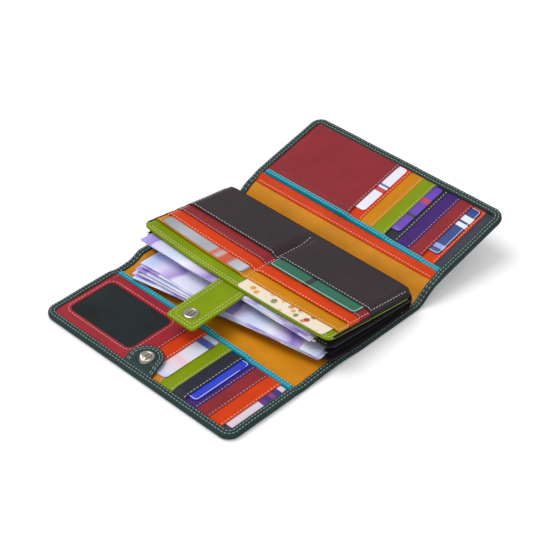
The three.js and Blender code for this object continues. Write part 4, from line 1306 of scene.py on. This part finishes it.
# Add-on
class PurseSettings(bpy.types.PropertyGroup):
    grain: bpy.props.FloatProperty(name="Grain depth", description="Depth of the leather's grain",
                                   default=0.00012, min=0.0, max=0.001, unit="LENGTH")
    stitch_pitch: bpy.props.FloatProperty(name="Stitch pitch",
                                          description="Distance from one stitch to the next",
                                          default=0.0029, min=0.0015, max=0.01, unit="LENGTH")
    stitch_length: bpy.props.FloatProperty(name="Stitch length",
                                           description="Length of thread that shows per stitch",
                                           default=0.0021, min=0.001, max=0.008, unit="LENGTH")
    thread_width: bpy.props.FloatProperty(name="Thread width", description="Half width of the sewing thread",
                                          default=0.00028, min=0.0001, max=0.001, unit="LENGTH")
    fill: bpy.props.FloatProperty(name="Fill light", description="Strength of the white surroundings",
                                  default=0.7, min=0.0, max=5.0, subtype="FACTOR")
    floor_lift: bpy.props.FloatProperty(name="Floor lift",
                                        description="White added to the floor as the camera sees it",
                                        default=0.2, min=0.0, max=1.0, subtype="FACTOR")
    key_strength: bpy.props.FloatProperty(name="Key strength", description="Strength of the key light",
                                          default=1.3, min=0.0, max=20.0, subtype="FACTOR")
    key_spread: bpy.props.FloatProperty(name="Key spread",
                                        description="Angle that the key light fills in the sky",
                                        default=math.radians(40), min=0.0, max=3.1, subtype="ANGLE")
    focal_length: bpy.props.FloatProperty(name="Focal length", description="Focal length of the camera",
                                          default=107.27, min=20.0, max=300.0, subtype="DISTANCE_CAMERA")


class PURSE_OT_materials(bpy.types.Operator):
    """Make the leathers, threads, papers and metal"""
    bl_idname = "purse.materials"
    bl_label = "Materials"

    def execute(self, context):
        make_materials(context.scene.purse.grain)
        return {"FINISHED"}


class PURSE_OT_cover(bpy.types.Operator):
    """Make the cover and its lining"""
    bl_idname = "purse.cover"
    bl_label = "Cover"

    def execute(self, context):
        build_cover()
        build_linings()
        return {"FINISHED"}


class PURSE_OT_sides(bpy.types.Operator):
    """Make the card pockets of the two side panels"""
    bl_idname = "purse.sides"
    bl_label = "Side panels"

    def execute(self, context):
        for side in SIDES:
            build_side(side)
        build_window()
        build_facing()
        return {"FINISHED"}


class PURSE_OT_organizer(bpy.types.Operator):
    """Make the leaves, fold and gussets of the organizer"""
    bl_idname = "purse.organizer"
    bl_label = "Organizer"

    def execute(self, context):
        build_leaf()
        build_divider()
        build_gussets()
        return {"FINISHED"}


class PURSE_OT_notes(bpy.types.Operator):
    """Make the two stacks of notes"""
    bl_idname = "purse.notes"
    bl_label = "Notes"

    def execute(self, context):
        build_notes()
        return {"FINISHED"}


class PURSE_OT_fasteners(bpy.types.Operator):
    """Make the tab, the strap, the snaps and the studs"""
    bl_idname = "purse.fasteners"
    bl_label = "Fasteners"

    def execute(self, context):
        build_tab()
        build_strap()
        return {"FINISHED"}


class PURSE_OT_threads(bpy.types.Operator):
    """Make the stitching of everything that was sewn"""
    bl_idname = "purse.threads"
    bl_label = "Stitching"

    def execute(self, context):
        build_threads()
        return {"FINISHED"}


class PURSE_OT_stage(bpy.types.Operator):
    """Make the floor, the lights and the camera"""
    bl_idname = "purse.stage"
    bl_label = "Stage"

    def execute(self, context):
        build_stage()
        return {"FINISHED"}


OPERATORS = (PURSE_OT_materials, PURSE_OT_cover, PURSE_OT_sides, PURSE_OT_organizer, PURSE_OT_notes,
             PURSE_OT_fasteners, PURSE_OT_threads, PURSE_OT_stage)


class PURSE_PT_panel(bpy.types.Panel):
    """Steps that dress the purse"""
    bl_idname = "PURSE_PT_panel"
    bl_label = "Trifold Purse"
    bl_space_type = "VIEW_3D"
    bl_region_type = "UI"
    bl_category = "Purse"

    def draw(self, context):
        for name in PurseSettings.__annotations__:
            self.layout.prop(context.scene.purse, name)
        for operator in OPERATORS:
            self.layout.operator(operator.bl_idname)


CLASSES = (PurseSettings,) + OPERATORS + (PURSE_PT_panel,)


def register():
    for cls in CLASSES:
        bpy.utils.register_class(cls)
    bpy.types.Scene.purse = bpy.props.PointerProperty(type=PurseSettings)


def unregister():
    del bpy.types.Scene.purse
    for cls in reversed(CLASSES):
        bpy.utils.unregister_class(cls)


def main():
    register()
    bpy.ops.purse.materials()
    bpy.ops.purse.cover()
    bpy.ops.purse.sides()
    bpy.ops.purse.organizer()
    bpy.ops.purse.notes()
    bpy.ops.purse.fasteners()
    bpy.ops.purse.threads()
    bpy.ops.purse.stage()


if __name__ == "__main__":
    main()
